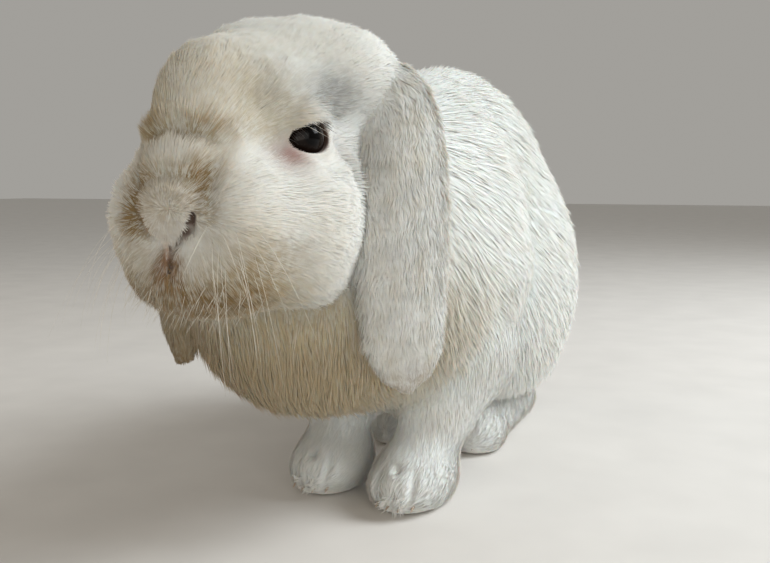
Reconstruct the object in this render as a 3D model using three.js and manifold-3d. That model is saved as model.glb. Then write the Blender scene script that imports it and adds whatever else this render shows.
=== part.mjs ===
// A lop-eared rabbit sitting with its head up, at life size in millimetres.
// The nose points along -Y, the rabbit's left side is +X and its feet rest on the plane z = 0.
// All of the flesh is one smooth form of blended ovals and limbs, out to the tips of the coat,
// and thin cuts part it into its named pieces. The ears, eyes and tail are forms of their own.
import * as THREE from 'three';
import { mergeVertices } from 'three/addons/utils/BufferGeometryUtils.js';
import Module from 'manifold-3d';

const wasm = await Module();
wasm.setup();
const { degToRad, lerp, clamp } = THREE.MathUtils;

// ------------------------------------------------------------------ driving dimensions
const CUT = 0.3; // gap between neighbouring pieces
const SLIVER = 0.1; // points nearer than this are one
const FACET = { body: 13, head: 6.6, leg: 9.4 }; // facet sizes
const SIDES = { left: 1, right: -1 };

// Places are measured from the point on the floor midway between the tips of the front paws.
const HEAD = { x: -19.5, y: -67, z: 146.6, turn: -1 }; // midpoint between the eyes
const EYE = { radius: 8.6, x: 22.4, y: 2, z: -1 }; // in the head's own axes, as are all of its forms
const EAR = {
  halfWidth: 16.8,
  halfThick: 4.6,
  curl: 5, // how far the edges turn in
  facing: 50, // degrees from straight ahead to straight out
  lift: 0.42, // below 1 gives a blunt lobe
  swing: { left: [0, 0], right: [15, 11] }, // how far the tip hangs out and back
};
const EAR_MIDDLE = [[24, 42, 26], [34, 40, 25], [43, 36, 14], [47, 32, -6], [48, 30, -34],
  [47, 33, -62], [46, 39, -87]]; // root to tip
const EAR_TIP = EAR_MIDDLE.at(-1)[2];
const PAW = { x: -9, y: -3, spread: 20.5, stagger: 4, length: 50, width: 36, height: 26, toeIn: 4 };
const ELBOW = { spread: 29, behind: 58, z: 58 };
const CHEST = { x: -25, y: -8, z: 91 };
const BACK = { x: -7.5, y: 110, top: 188, length: 188, height: 168, width: 105, tilt: 2.5, turn: -4 };
const HAUNCH = { x: -9, spread: 31, y: 140, z: 76 };
const SHOULDER = { x: -8, y: 34, z: 90 };
const FOOT = { x: -6, spread: 21, heel: 166, toe: 84, width: 27, height: 22 };
const TAIL = { x: -2, y: 203, z: 72, tilt: -24 };
const BLEND = { head: 9, sockets: 7, trunk: 26, neck: 14, forelegs: 12, hindFeet: 10 }; // fillets

// ------------------------------------------------------------------ smooth forms
const point = (...values) => new THREE.Vector3(...values.flat());
const turnedBy = ([x = 0, y = 0, z = 0] = []) =>
  new THREE.Quaternion().setFromEuler(new THREE.Euler(degToRad(x), degToRad(y), degToRad(z), 'ZYX'));
const placed = (centre, turn) => new THREE.Matrix4().compose(point(centre), turnedBy(turn), point(1, 1, 1));
const bothSides = (make) => Object.values(SIDES).map(make);

/** An oval: the distance to an ellipsoid with these radii, turned by degrees about x, y and z. */
function oval(centre, [rx, ry, rz], turn) {
  const inward = placed(centre, turn).invert();
  const q = point();
  return (p) => {
    q.copy(p).applyMatrix4(inward);
    const near = Math.hypot(q.x / rx, q.y / ry, q.z / rz);
    const slope = Math.hypot(q.x / rx ** 2, q.y / ry ** 2, q.z / rz ** 2);
    return slope < 1e-9 ? -Math.min(rx, ry, rz) : (near * (near - 1)) / slope;
  };
}

/** A limb: a cone with round ends, from one joint to the next. */
function limb(start, end, startRadius, endRadius) {
  const from = point(start);
  const along = point(end).sub(from);
  const q = point();
  return (p) => {
    q.copy(p).sub(from);
    const t = clamp(q.dot(along) / along.lengthSq(), 0, 1);
    return q.addScaledVector(along, -t).length() - lerp(startRadius, endRadius, t);
  };
}

/** Two distances joined with a fillet of that reach. */
function fillet(a, b, reach) {
  const overlap = Math.max(reach - Math.abs(a - b), 0) / reach;
  return Math.min(a, b) - (overlap * overlap * reach) / 4;
}

/** Many forms joined with one fillet. */
const joined = (reach, ...forms) => (p) => forms.reduce((d, form) => fillet(d, form(p), reach), Infinity);

/** A form with another one sunk out of it, with a rounded rim. */
const hollowed = (reach, form, hollow) => (p) => -fillet(-form(p), hollow(p), reach);

/** The distance to a block between two corners. */
function blockForm(low, high) {
  return (p) => Math.max(
    low[0] - p.x, p.x - high[0], low[1] - p.y, p.y - high[1], low[2] - p.z, p.z - high[2],
  );
}

// ------------------------------------------------------------------ the flesh
const headPlace = placed([HEAD.x, HEAD.y, HEAD.z], [0, 0, HEAD.turn]);
const headInward = headPlace.clone().invert();
const fromHead = (x, y, z) => point(x, y, z).applyMatrix4(headPlace);

const skull = joined(
  BLEND.head,
  oval([0, 22, 4], [32, 40, 34]), // skull
  ...bothSides((s) => oval([s * 21, 37, 19], [20, 24, 20])), // where the ears rise
  ...bothSides((s) => oval([s * 9, 30, 17], [18, 24, 24])), // crown
  oval([0, -8, 7.5], [19, 23, 22.5], [22]), // forehead
  oval([0, -20, -8], [18, 17, 16]), // bridge and muzzle
  oval([0, -31, -20], [9, 9, 10]), // nose
  ...bothSides((s) => oval([s * 21, 4, -26], [19, 25, 27])), // cheeks
  ...bothSides((s) => oval([s * 15, -21, -26], [14, 15, 18])), // whisker pads
  oval([0, -14, -41], [25, 24, 14]), // jaw
);
const eyeSockets = joined(1, ...bothSides((s) => oval([s * 35, EYE.y - 1, EYE.z], [7, 12, 10])));
const headForm = hollowed(BLEND.sockets, skull, eyeSockets);
const inHead = point();
const head = (p) => headForm(inHead.copy(p).applyMatrix4(headInward));

const trunk = joined(
  BLEND.trunk,
  oval(
    [BACK.x, BACK.y, BACK.top - BACK.height / 2],
    [BACK.width / 2, BACK.length / 2, BACK.height / 2],
    [BACK.tilt, 0, BACK.turn],
  ),
  oval([CHEST.x, CHEST.y, CHEST.z], [48, 46, 50]), // chest and the loose fur under the chin
  oval([SHOULDER.x, SHOULDER.y, SHOULDER.z], [52, 50, 54]),
  limb([HEAD.x, HEAD.y + 30, HEAD.z - 18], [SHOULDER.x, 50, 118], 34, 50), // neck
  ...bothSides((s) => oval([HAUNCH.x + s * HAUNCH.spread, HAUNCH.y, HAUNCH.z], [32, 56, 53])),
);

/** The front leg on one side: paw, forearm and upper arm. */
function foreleg(side) {
  const x = PAW.x + side * PAW.spread;
  const tip = PAW.y - side * PAW.stagger;
  const elbow = [-6 + side * ELBOW.spread, tip + ELBOW.behind, ELBOW.z];
  const paw = [PAW.width / 2, PAW.length / 2, 15];
  return joined(
    10,
    oval([x, tip + PAW.length / 2, 9], paw, [0, 0, -side * PAW.toeIn]),
    limb([x, tip + 31, 16], elbow, 13, 21),
    limb(elbow, [SHOULDER.x + side * 32, 56, 92], 21, 25),
  );
}

/** The hind foot on one side, flat on the floor from heel to toes. */
function hindFoot(side) {
  const x = FOOT.x + side * FOOT.spread;
  return joined(
    8,
    limb([x, FOOT.heel, 12], [x, FOOT.toe + 14, 9], 15, 13),
    oval([x, FOOT.toe + 16, 8], [FOOT.width / 2, 17, 12]),
  );
}

const forelegs = bothSides(foreleg);
const hindFeet = bothSides(hindFoot);
const tailForm = oval([TAIL.x, TAIL.y, TAIL.z], [14, 14, 26], [TAIL.tilt]);

/** The whole of the flesh, a blend of every part. */
function flesh(p) {
  const body = fillet(trunk(p), head(p), BLEND.neck);
  const seated = hindFeet.reduce((d, form) => fillet(d, form(p), BLEND.hindFeet), body);
  return forelegs.reduce((d, form) => fillet(d, form(p), BLEND.forelegs), seated);
}

// ------------------------------------------------------------------ fields into closed meshes
const CORNERS = [...Array(8).keys()].map((k) => [k & 1, (k >> 1) & 1, (k >> 2) & 1]);
const EDGES = [[0, 1], [2, 3], [4, 5], [6, 7], [0, 2], [1, 3], [4, 6], [5, 7],
  [0, 4], [1, 5], [2, 6], [3, 7]];

/** Moves a point onto the field's zero level along its gradient. */
function settle(field, p, step) {
  const probe = new THREE.Vector3();
  const slope = new THREE.Vector3();
  const reach = step * 0.05;
  for (let pass = 0; pass < 4; pass += 1) {
    ['x', 'y', 'z'].forEach((axis) => {
      probe.copy(p)[axis] += reach;
      const ahead = field(probe);
      probe[axis] -= 2 * reach;
      slope[axis] = (ahead - field(probe)) / (2 * reach);
    });
    const shift = clamp(field(p) / Math.max(slope.lengthSq(), 0.05), -step / 4, step / 4);
    p.addScaledVector(slope, -shift);
  }
}

/** The closed skin on a field's zero level: one point in every grid cell that it crosses. */
function skin(field, box, step) {
  const count = box.getSize(new THREE.Vector3()).divideScalar(step).ceil().addScalar(2);
  const at = (i, j, k) => (k * count.y + j) * count.x + i;
  const place = (i, j, k) => new THREE.Vector3(i, j, k).subScalar(0.5).multiplyScalar(step).add(box.min);
  const value = new Float64Array(count.x * count.y * count.z);
  for (let k = 0; k < count.z; k += 1)
    for (let j = 0; j < count.y; j += 1)
      for (let i = 0; i < count.x; i += 1) value[at(i, j, k)] = field(place(i, j, k));

  const points = [];
  const pointOf = new Map();
  for (let k = 0; k < count.z - 1; k += 1)
    for (let j = 0; j < count.y - 1; j += 1)
      for (let i = 0; i < count.x - 1; i += 1) {
        const level = CORNERS.map(([a, b, c]) => value[at(i + a, j + b, k + c)]);
        const crossed = EDGES.filter(([a, b]) => level[a] < 0 !== level[b] < 0);
        if (!crossed.length) continue;
        const middle = new THREE.Vector3();
        crossed.forEach(([a, b]) => {
          const t = level[a] / (level[a] - level[b]);
          const crossing = new THREE.Vector3(...CORNERS[a]).lerp(new THREE.Vector3(...CORNERS[b]), t);
          middle.add(crossing);
        });
        middle.divideScalar(crossed.length).add(new THREE.Vector3(i, j, k));
        middle.subScalar(0.5).multiplyScalar(step).add(box.min);
        settle(field, middle, step);
        pointOf.set(at(i, j, k), points.length);
        points.push(middle);
      }

  const faces = [];
  const stride = [1, count.x, count.x * count.y];
  for (let k = 1; k < count.z - 1; k += 1)
    for (let j = 1; j < count.y - 1; j += 1)
      for (let i = 1; i < count.x - 1; i += 1)
        stride.forEach((ahead, axis) => {
          const here = at(i, j, k);
          const inside = value[here] < 0;
          if (inside === value[here + ahead] < 0) return;
          const u = stride[(axis + 1) % 3];
          const v = stride[(axis + 2) % 3];
          const ring = [here - u - v, here - v, here, here - u].map((cell) => pointOf.get(cell));
          if (!inside) ring.reverse();
          const [a, b, c, d] = ring;
          const short = points[a].distanceTo(points[c]) <= points[b].distanceTo(points[d]);
          faces.push(...(short ? [a, b, c, a, c, d] : [a, b, d, b, c, d]));
        });

  const geometry = new THREE.BufferGeometry();
  const places = points.flatMap((p) => p.toArray());
  geometry.setAttribute('position', new THREE.Float32BufferAttribute(places, 3));
  geometry.setIndex(faces);
  return geometry;
}

// ------------------------------------------------------------------ joins and cuts
/** A closed geometry with shared vertices as a solid that can be joined and cut. */
function solidOf(geometry) {
  return new wasm.Manifold(new wasm.Mesh({
    numProp: 3,
    vertProperties: Float32Array.from(geometry.attributes.position.array),
    triVerts: Uint32Array.from(geometry.index.array),
  }));
}

/** A ready-made shape with its vertices shared. */
function shared(geometry) {
  geometry.deleteAttribute('normal');
  geometry.deleteAttribute('uv');
  return mergeVertices(geometry, 1e-4);
}

/** A solid as a geometry again, with the slivers that a cut leaves drawn together. */
function geometryOf(solid) {
  const mesh = solid.getMesh();
  const cut = new THREE.BufferGeometry();
  cut.setAttribute('position', new THREE.BufferAttribute(Float32Array.from(mesh.vertProperties), 3));
  cut.setIndex(new THREE.BufferAttribute(Uint32Array.from(mesh.triVerts), 1));
  const geometry = mergeVertices(cut, SLIVER);
  const corners = [...geometry.index.array];
  const faces = new Map(); // two faces on the same three points are a fold, and both go
  for (let i = 0; i < corners.length; i += 3) {
    const face = corners.slice(i, i + 3);
    const key = [...face].sort((a, b) => a - b).join();
    if (new Set(face).size === 3 && !faces.delete(key)) faces.set(key, face);
  }
  geometry.setIndex([...faces.values()].flat());
  geometry.computeVertexNormals();
  return geometry;
}

/** A cutting block between two corners, grown on every side. */
function block(low, high, grown = 0) {
  const corner = point(low).subScalar(grown);
  const size = point(high).addScalar(grown).sub(corner);
  const geometry = new THREE.BoxGeometry(size.x, size.y, size.z);
  return solidOf(shared(geometry).translate(...corner.addScaledVector(size, 0.5).toArray()));
}

/** A field's closed skin inside a block, as a solid cut to the block's faces. */
function carved(field, low, high, facet) {
  const spare = 1.2 * facet;
  const near = new THREE.Box3(point(low).subScalar(2 * facet), point(high).addScalar(2 * facet));
  const walls = blockForm(low, high);
  const rough = skin((p) => Math.max(field(p), walls(p) - spare), near, facet);
  return solidOf(rough).intersect(block(low, high));
}

// ------------------------------------------------------------------ where the body is parted
const FAR = 400;
const COLLAR = { y: -48, z: 88, tilt: 24.5, width: 26, floor: 90 }; // head, neck and trunk meet here

/** All that lies ahead of the collar's leaning plane, moved back by a distance. */
function ahead(movedBack) {
  const space = new THREE.BoxGeometry(2 * FAR, 2 * FAR, 2 * FAR).translate(0, movedBack - FAR, 0);
  return solidOf(shared(space).rotateX(-degToRad(COLLAR.tilt)).translate(0, COLLAR.y, COLLAR.z));
}

/** The corners of a block from the body's midline x outwards on one side. */
function outwards(side, middle, [near, far], [front, back], [bottom, top]) {
  const xs = [middle + side * near, middle + side * far];
  return [[Math.min(...xs), front, bottom], [Math.max(...xs), back, top]];
}

const WRIST = PAW.height;
const ANKLE = FOOT.height;

/** The blocks that the parts of the legs on one side are cut with. */
function legBlocks(side) {
  const tip = PAW.y - side * PAW.stagger;
  const pawReach = [CUT / 2, 44];
  const footReach = [FOOT.spread - 16, FOOT.spread + 40];
  return {
    forepaw: outwards(side, PAW.x, pawReach, [tip - 8, tip + 62], [0, WRIST]),
    foreleg: outwards(side, PAW.x, pawReach, [tip + 12, tip + 86], [WRIST + CUT, 62]),
    hind_foot: outwards(side, FOOT.x, footReach, [FOOT.toe - 8, FOOT.heel + 18], [0, ANKLE]),
    thigh: outwards(side, HAUNCH.x, [20, 80], [94, 206], [ANKLE + CUT, 132]),
  };
}

// ------------------------------------------------------------------ the pieces
const whole = [[-90, -125, 0], [85, 235, 200]];
const headRoom = [[HEAD.x - 66, HEAD.y - 60, COLLAR.floor], [HEAD.x + 66, HEAD.y + 105, 200]];

const standOff = (p) => flesh(p) - CUT;
const bodyFlesh = carved(flesh, ...whole, FACET.body);
const bodyClearance = carved(standOff, ...whole, FACET.body);
const headClearance = carved(standOff, ...headRoom, FACET.head);

/** An eyeball of a radius, with its poles to the sides. */
function eyeBall(side, radius) {
  const ball = shared(new THREE.SphereGeometry(radius, 12, 8)).rotateZ(Math.PI / 2);
  const centre = fromHead(side * EYE.x, EYE.y, EYE.z);
  return solidOf(ball.translate(...centre.toArray()));
}

/** The head, hollowed for the eyes. */
function headSolid() {
  const eyes = bothSides((side) => eyeBall(side, EYE.radius + CUT));
  const front = carved(flesh, ...headRoom, FACET.head).intersect(ahead(-CUT / 2));
  return eyes.reduce((solid, eye) => solid.subtract(eye), front);
}

/** The collar of the neck, between two leaning planes. */
function neckSolid() {
  const collar = ahead(COLLAR.width - CUT / 2).subtract(ahead(CUT / 2));
  return bodyFlesh.intersect(block(...headRoom)).intersect(collar);
}

/** All that is left of the body once the head, neck and legs are parted from it. */
function trunkSolid() {
  const front = ahead(COLLAR.width + CUT / 2).intersect(block(headRoom[0], [FAR, FAR, FAR], CUT));
  const blocks = bothSides(legBlocks).flatMap((blocksOf) => Object.values(blocksOf));
  const legs = blocks.map(([low, high]) => block(low, high, CUT));
  return [front, ...legs].reduce((solid, cutter) => solid.subtract(cutter), bodyFlesh);
}

/** A hanging ear: a closed lobe lofted down its middle line, with both edges curled inwards. */
function earSolid(side, [outSwing, backSwing]) {
  const hang = (z) => Math.max(0, z / EAR_TIP);
  const middle = new THREE.CatmullRomCurve3(EAR_MIDDLE.map(([x, y, z]) =>
    point(side * (x + outSwing * hang(z)), y + backSwing * hang(z), z)));
  const facing = degToRad(EAR.facing);
  const lobe = shared(new THREE.SphereGeometry(1, 12, 16));
  const places = lobe.attributes.position;
  const unit = point();
  for (let i = 0; i < places.count; i += 1) {
    unit.fromBufferAttribute(places, i);
    const fall = Math.acos(clamp(unit.y, -1, 1)) / Math.PI; // 0 at the root, 1 at the tip
    const along = (1 - Math.cos(Math.PI * fall)) / 2;
    const down = middle.getTangentAt(along);
    const across = point(side * Math.sin(facing), Math.cos(facing), 0);
    across.addScaledVector(down, -across.dot(down)).normalize();
    const out = across.clone().cross(down).normalize();
    if (out.x * side < 0) out.negate();
    const swell = Math.sin(Math.PI * fall) ** EAR.lift;
    const girth = Math.hypot(unit.x, unit.z) || 1;
    const sideways = (side * unit.x) / girth;
    const outwardly = unit.z / girth;
    const lobePoint = middle.getPointAt(along)
      .addScaledVector(across, sideways * swell * EAR.halfWidth * lerp(0.76, 1, Math.min(1, 2 * fall)))
      .addScaledVector(out, outwardly * swell * EAR.halfThick - EAR.curl * swell * sideways ** 2)
      .applyMatrix4(headPlace);
    places.setXYZ(i, ...lobePoint.toArray());
  }
  return solidOf(lobe).subtract(headClearance).subtract(bodyClearance);
}

/** The short tail, held against the rump. */
function tailSolid() {
  const rear = [[TAIL.x - 24, TAIL.y - 40, TAIL.z - 34], [TAIL.x + 24, TAIL.y + 30, TAIL.z + 34]];
  return carved(tailForm, ...rear, FACET.leg).subtract(bodyClearance);
}

// ------------------------------------------------------------------ coat, eyes and the finished group
const coat = (colour) => ({ color: colour, roughness: 0.95, metalness: 0 });
const FINISH = {
  cream: coat('#d9d2c4'),
  white: coat('#ece9e4'),
  grey: coat('#bdbab9'),
  eye: { color: '#0b0908', roughness: 0.05, metalness: 0 },
};

const solids = {
  head: [headSolid(), FINISH.cream],
  neck: [neckSolid(), FINISH.white],
  trunk: [trunkSolid(), FINISH.white],
  tail: [tailSolid(), FINISH.white],
};
Object.entries(SIDES).forEach(([name, side]) => {
  solids[`ear_${name}`] = [earSolid(side, EAR.swing[name]), FINISH.grey];
  solids[`eye_${name}`] = [eyeBall(side, EYE.radius), FINISH.eye];
  Object.entries(legBlocks(side)).forEach(([part, corners]) => {
    const facet = part === 'thigh' ? FACET.body : FACET.leg;
    solids[`${part}_${name}`] = [carved(flesh, ...corners, facet), FINISH.white];
  });
});

const rabbit = new THREE.Group();
Object.entries(solids).forEach(([name, [solid, finish]]) => {
  const mesh = new THREE.Mesh(geometryOf(solid), new THREE.MeshStandardMaterial(finish));
  mesh.name = name;
  rabbit.add(mesh);
});

// The origin is on the floor, under the middle of the rabbit's length and width.
const extent = new THREE.Box3().setFromObject(rabbit);
const middle = extent.getCenter(point());
rabbit.position.set(-middle.x, -middle.y, -extent.min.z);
rabbit.updateMatrixWorld(true);

export default rabbit;
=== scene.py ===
"""A lop-eared rabbit sitting with its head up, as a still life-size model.

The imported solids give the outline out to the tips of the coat. This script makes one skin that lies
inside them by the coat's depth, with lids, nostrils and mouth worked into it, and grows the coat on it
as small solid locks of hair. Eyes, whiskers, lashes and claws are pieces of their own.

Shapes are worked out in millimetres, in the plan frame: the origin is the point on the floor midway
between the tips of the front paws. Meshes are in metres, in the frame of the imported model.
"""

import logging
import math
from dataclasses import dataclass, field
from enum import Enum, IntEnum

import bmesh
import bpy
import numpy as np
import openvdb
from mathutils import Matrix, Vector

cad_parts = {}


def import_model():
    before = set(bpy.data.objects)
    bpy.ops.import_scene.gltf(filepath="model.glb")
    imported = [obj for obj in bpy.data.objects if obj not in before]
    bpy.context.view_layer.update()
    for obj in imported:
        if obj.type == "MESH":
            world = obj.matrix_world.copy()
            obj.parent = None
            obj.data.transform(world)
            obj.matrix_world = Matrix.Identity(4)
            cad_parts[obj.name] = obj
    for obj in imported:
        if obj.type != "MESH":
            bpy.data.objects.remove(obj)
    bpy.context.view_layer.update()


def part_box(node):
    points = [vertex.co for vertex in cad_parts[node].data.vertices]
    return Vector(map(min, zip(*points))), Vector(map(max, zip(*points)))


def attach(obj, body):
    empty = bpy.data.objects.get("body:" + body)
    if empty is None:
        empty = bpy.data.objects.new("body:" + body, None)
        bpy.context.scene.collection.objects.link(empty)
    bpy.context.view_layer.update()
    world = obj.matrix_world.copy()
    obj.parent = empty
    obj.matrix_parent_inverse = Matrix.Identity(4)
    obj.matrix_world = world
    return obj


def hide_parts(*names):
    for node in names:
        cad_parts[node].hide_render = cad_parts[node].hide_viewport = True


logging.basicConfig(level=logging.INFO, format="%(name)s: %(message)s")
LOG = logging.getLogger("rabbit")

MM = 0.001
SEED = 11
Array = np.ndarray
SIDES = {"left": 1.0, "right": -1.0}


# ------------------------------------------------------------------ smooth forms
def turn_matrix(turn: tuple[float, float, float]) -> Array:
    """Gives the matrix that turns a form about x, then y, then z.

    Args:
        turn: Degrees about each axis.

    Returns:
        A 3 by 3 matrix from the form's own axes to the outer ones.
    """
    x, y, z = np.radians(turn)
    about_x = np.array([[1, 0, 0], [0, np.cos(x), -np.sin(x)], [0, np.sin(x), np.cos(x)]])
    about_y = np.array([[np.cos(y), 0, np.sin(y)], [0, 1, 0], [-np.sin(y), 0, np.cos(y)]])
    about_z = np.array([[np.cos(z), -np.sin(z), 0], [np.sin(z), np.cos(z), 0], [0, 0, 1]])
    return about_z @ about_y @ about_x


def unit(vectors: Array) -> Array:
    """Scales each row to length one."""
    return vectors / np.maximum(np.linalg.norm(vectors, axis=-1, keepdims=True), 1e-9)


def smooth(low: float, high: float, value: Array) -> Array:
    """Rises smoothly from 0 at low to 1 at high."""
    t = np.clip((value - low) / (high - low), 0.0, 1.0)
    return t * t * (3.0 - 2.0 * t)


def fillet(a: Array, b: Array, reach: float) -> Array:
    """Joins two distances with a fillet of that reach."""
    overlap = np.maximum(reach - np.abs(a - b), 0.0) / reach
    return np.minimum(a, b) - overlap * overlap * reach / 4.0


def hollowed(form: Array, hollow: Array, reach: float) -> Array:
    """Sinks a hollow into a form, with a rounded rim of that reach."""
    return -fillet(-form, hollow, reach)


@dataclass(frozen=True)
class Oval:
    """An ellipsoid, with its radii turned by degrees about x, y and z."""

    centre: tuple[float, float, float]
    radii: tuple[float, float, float]
    turn: tuple[float, float, float] = (0.0, 0.0, 0.0)

    def distance(self, points: Array) -> Array:
        """Gives the distance of each point from the surface, negative inside."""
        inner = (points - np.array(self.centre)) @ turn_matrix(self.turn)
        radii = np.array(self.radii)
        near = np.linalg.norm(inner / radii, axis=1)
        slope = np.linalg.norm(inner / radii**2, axis=1)
        return np.where(slope < 1e-6, -min(self.radii), near * (near - 1.0) / np.maximum(slope, 1e-6))


@dataclass(frozen=True)
class Limb:
    """A cone with round ends, from one joint to the next."""

    start: tuple[float, float, float]
    end: tuple[float, float, float]
    start_radius: float
    end_radius: float

    def distance(self, points: Array) -> Array:
        """Gives the distance of each point from the surface, negative inside."""
        start = np.array(self.start)
        along = np.array(self.end) - start
        t = np.clip((points - start) @ along / (along @ along), 0.0, 1.0)
        away = np.linalg.norm(points - start - t[:, None] * along, axis=1)
        return away - (self.start_radius + (self.end_radius - self.start_radius) * t)


@dataclass(frozen=True)
class Blend:
    """Forms joined with one fillet."""

    reach: float
    forms: tuple[Oval | Limb, ...]

    def distance(self, points: Array) -> Array:
        """Gives the distance of each point from the joined surface."""
        total = np.full(len(points), 1e3)
        for form in self.forms:
            total = fillet(total, form.distance(points), self.reach)
        return total


def both_sides(make) -> tuple:
    """Makes a form for each side from a function of the side's sign."""
    return tuple(make(side) for side in SIDES.values())


@dataclass(frozen=True)
class Ripple:
    """Smooth noise of one size, as a sum of waves in seeded directions."""

    size: float
    seed: int
    waves: int = 9

    def at(self, points: Array) -> Array:
        """Gives the noise at each point, about -1 to 1."""
        draw = np.random.default_rng(SEED * 100 + self.seed)
        ways = unit(draw.normal(size=(self.waves, 3))) * draw.uniform(0.7, 1.4, (self.waves, 1))
        phases = draw.uniform(0.0, 2.0 * np.pi, self.waves)
        return np.sin(points @ ways.T * (2.0 * np.pi / self.size) + phases).sum(axis=1) / self.waves**0.5

    def vectors_at(self, points: Array) -> Array:
        """Gives three noises at each point, as a vector."""
        return np.stack([Ripple(self.size, self.seed + 7 * k, self.waves).at(points) for k in (1, 2, 3)], 1)


# ------------------------------------------------------------------ the rabbit's forms
@dataclass(frozen=True)
class Depths:
    """How far the skin lies inside the coat's tips, in millimetres."""

    head: float = 1.1
    trunk: float = 2.8
    leg: float = 1.3
    foot: float = 1.2
    ear: float = 1.1
    tail: float = 4.0


@dataclass(frozen=True)
class EyeShape:
    """An eye and its lids, in the head's own axes."""

    centre: tuple[float, float, float] = (22.4, 2.0, -1.0)
    radius: float = 8.6
    half_length: float = 8.1
    half_height: float = 5.4
    lid: float = 1.3
    gaze: tuple[float, float, float] = (0.87, -0.47, 0.10)
    slope: float = 0.17
    offset: tuple[float, float] = (0.3, -0.8)

    def axes(self, side: float) -> tuple[Array, Array, Array]:
        """Gives the eye's outward, forward and upward directions on one side."""
        outward = unit(np.array(self.gaze) * (side, 1.0, 1.0))
        forward = np.array([0.0, -1.0, -self.slope])
        forward = unit(forward - outward * (forward @ outward))
        return outward, forward, np.cross(forward, outward) * side

    def local(self, points: Array, side: float) -> tuple[Array, Array, Array]:
        """Gives how far each point is outward, forward and upward from the eye's centre."""
        offset = points - np.array(self.centre) * (side, 1.0, 1.0)
        return tuple(offset @ axis for axis in self.axes(side))

    def opening(self, points: Array, side: float) -> Array:
        """Gives how far each point is outside the almond between the lids."""
        out, ahead, up = self.local(points, side)
        ahead, up = ahead - self.offset[0], up - self.offset[1]
        height = self.half_height * (1.0 - 0.22 * (ahead / self.half_length))
        height = np.where(up < 0.0, height * 0.86, height)
        almond = np.hypot(ahead / self.half_length, up / np.maximum(height, 2.0))
        aside = (almond - 1.0) * self.half_height
        return np.maximum(aside, 3.0 - out)


@dataclass(frozen=True)
class EarShape:
    """A hanging ear: a lobe along a middle line, with its edges curled inwards."""

    side: float
    middle: tuple[tuple[float, float, float], ...] = (
        (24, 42, 26), (34, 40, 25), (43, 36, 14), (47, 32, -6), (48, 30, -34), (47, 33, -62), (46, 39, -87))
    half_width: float = 16.8
    half_thick: float = 4.6
    curl: float = 5.0
    facing: float = 50.0
    lift: float = 0.42
    swing: tuple[float, float] = (0.0, 0.0)
    samples: int = 72

    def centre_line(self) -> tuple[Array, Array]:
        """Gives points evenly along the middle line, and the share of its length at each."""
        knots = np.array(self.middle, float)
        hang = np.maximum(0.0, knots[:, 2] / knots[-1, 2])
        knots[:, 0] = (knots[:, 0] + self.swing[0] * hang) * self.side
        knots[:, 1] += self.swing[1] * hang
        padded = np.vstack([2 * knots[0] - knots[1], knots, 2 * knots[-1] - knots[-2]])
        fine = []
        for a, b, c, d in zip(padded, padded[1:], padded[2:], padded[3:]):
            t = np.linspace(0.0, 1.0, 40, endpoint=False)[:, None]
            fine.append(0.5 * (2 * b + (c - a) * t + (2 * a - 5 * b + 4 * c - d) * t**2
                               + (3 * b - a - 3 * c + d) * t**3))
        fine = np.vstack([*fine, knots[-1:]])
        run = np.concatenate([[0.0], np.cumsum(np.linalg.norm(np.diff(fine, axis=0), axis=1))])
        share = np.linspace(0.0, 1.0, self.samples)
        return np.stack([np.interp(share * run[-1], run, fine[:, k]) for k in range(3)], 1), share

    def local(self, points: Array) -> dict[str, Array]:
        """Places points in the ear's own terms.

        Args:
            points: Places in the head's axes.

        Returns:
            The share of the length, the offsets across, outward and along, and the tangent there.
        """
        line, share = self.centre_line()
        down = unit(np.gradient(line, axis=0))
        facing = math.radians(self.facing)
        across = np.array([self.side * math.sin(facing), math.cos(facing), 0.0])
        across = unit(across - down * (down @ across)[:, None])
        out = np.cross(across, down)
        out *= np.sign(out[:, :1] * self.side)
        nearest = np.empty(len(points), int)
        for start in range(0, len(points), 60000):
            chunk = points[start:start + 60000]
            gap = (chunk**2).sum(1)[:, None] - 2.0 * chunk @ line.T + (line**2).sum(1)
            nearest[start:start + 60000] = gap.argmin(1)
        offset = points - line[nearest]
        beyond = (offset * down[nearest]).sum(1)
        return {
            "share": np.clip(share[nearest] + beyond / 150.0, 1e-3, 1.0 - 1e-3),
            "across": (offset * across[nearest]).sum(1),
            "out": (offset * out[nearest]).sum(1),
            "along": beyond,
            "down": down[nearest],
            "outward": out[nearest],
        }

    def distance(self, points: Array, depth: float) -> Array:
        """Gives the distance from the ear's surface, set in by a depth."""
        box_low = np.array([10.0, 8.0, -106.0])
        box_high = np.array([76.0, 76.0, 44.0])
        folded = points * (self.side, 1.0, 1.0)
        near = ((folded > box_low) & (folded < box_high)).all(axis=1)
        total = np.full(len(points), 60.0)
        if not near.any():
            return total
        at = self.local(points[near])
        fall = np.arccos(1.0 - 2.0 * at["share"]) / np.pi
        swell = np.sin(np.pi * fall) ** self.lift
        width = self.half_width * swell * (0.76 + 0.24 * np.minimum(1.0, 2.0 * fall)) - depth
        thick = np.maximum(self.half_thick * swell - depth, 1.25)
        width = np.maximum(width, 1.25)
        aside = at["across"] / width
        rise = at["out"] + self.curl * swell * np.clip(aside, -1.2, 1.2) ** 2
        ends = at["along"] * (np.abs(at["along"]) > 1.4)
        flat = np.maximum(np.abs(aside) - (1.0 - thick / width), 0.0) * width / thick
        reach = np.sqrt(flat**2 + (rise / thick) ** 2 + (ends / 1.6) ** 2)
        total[near] = (reach - 1.0) * thick
        return total


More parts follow.
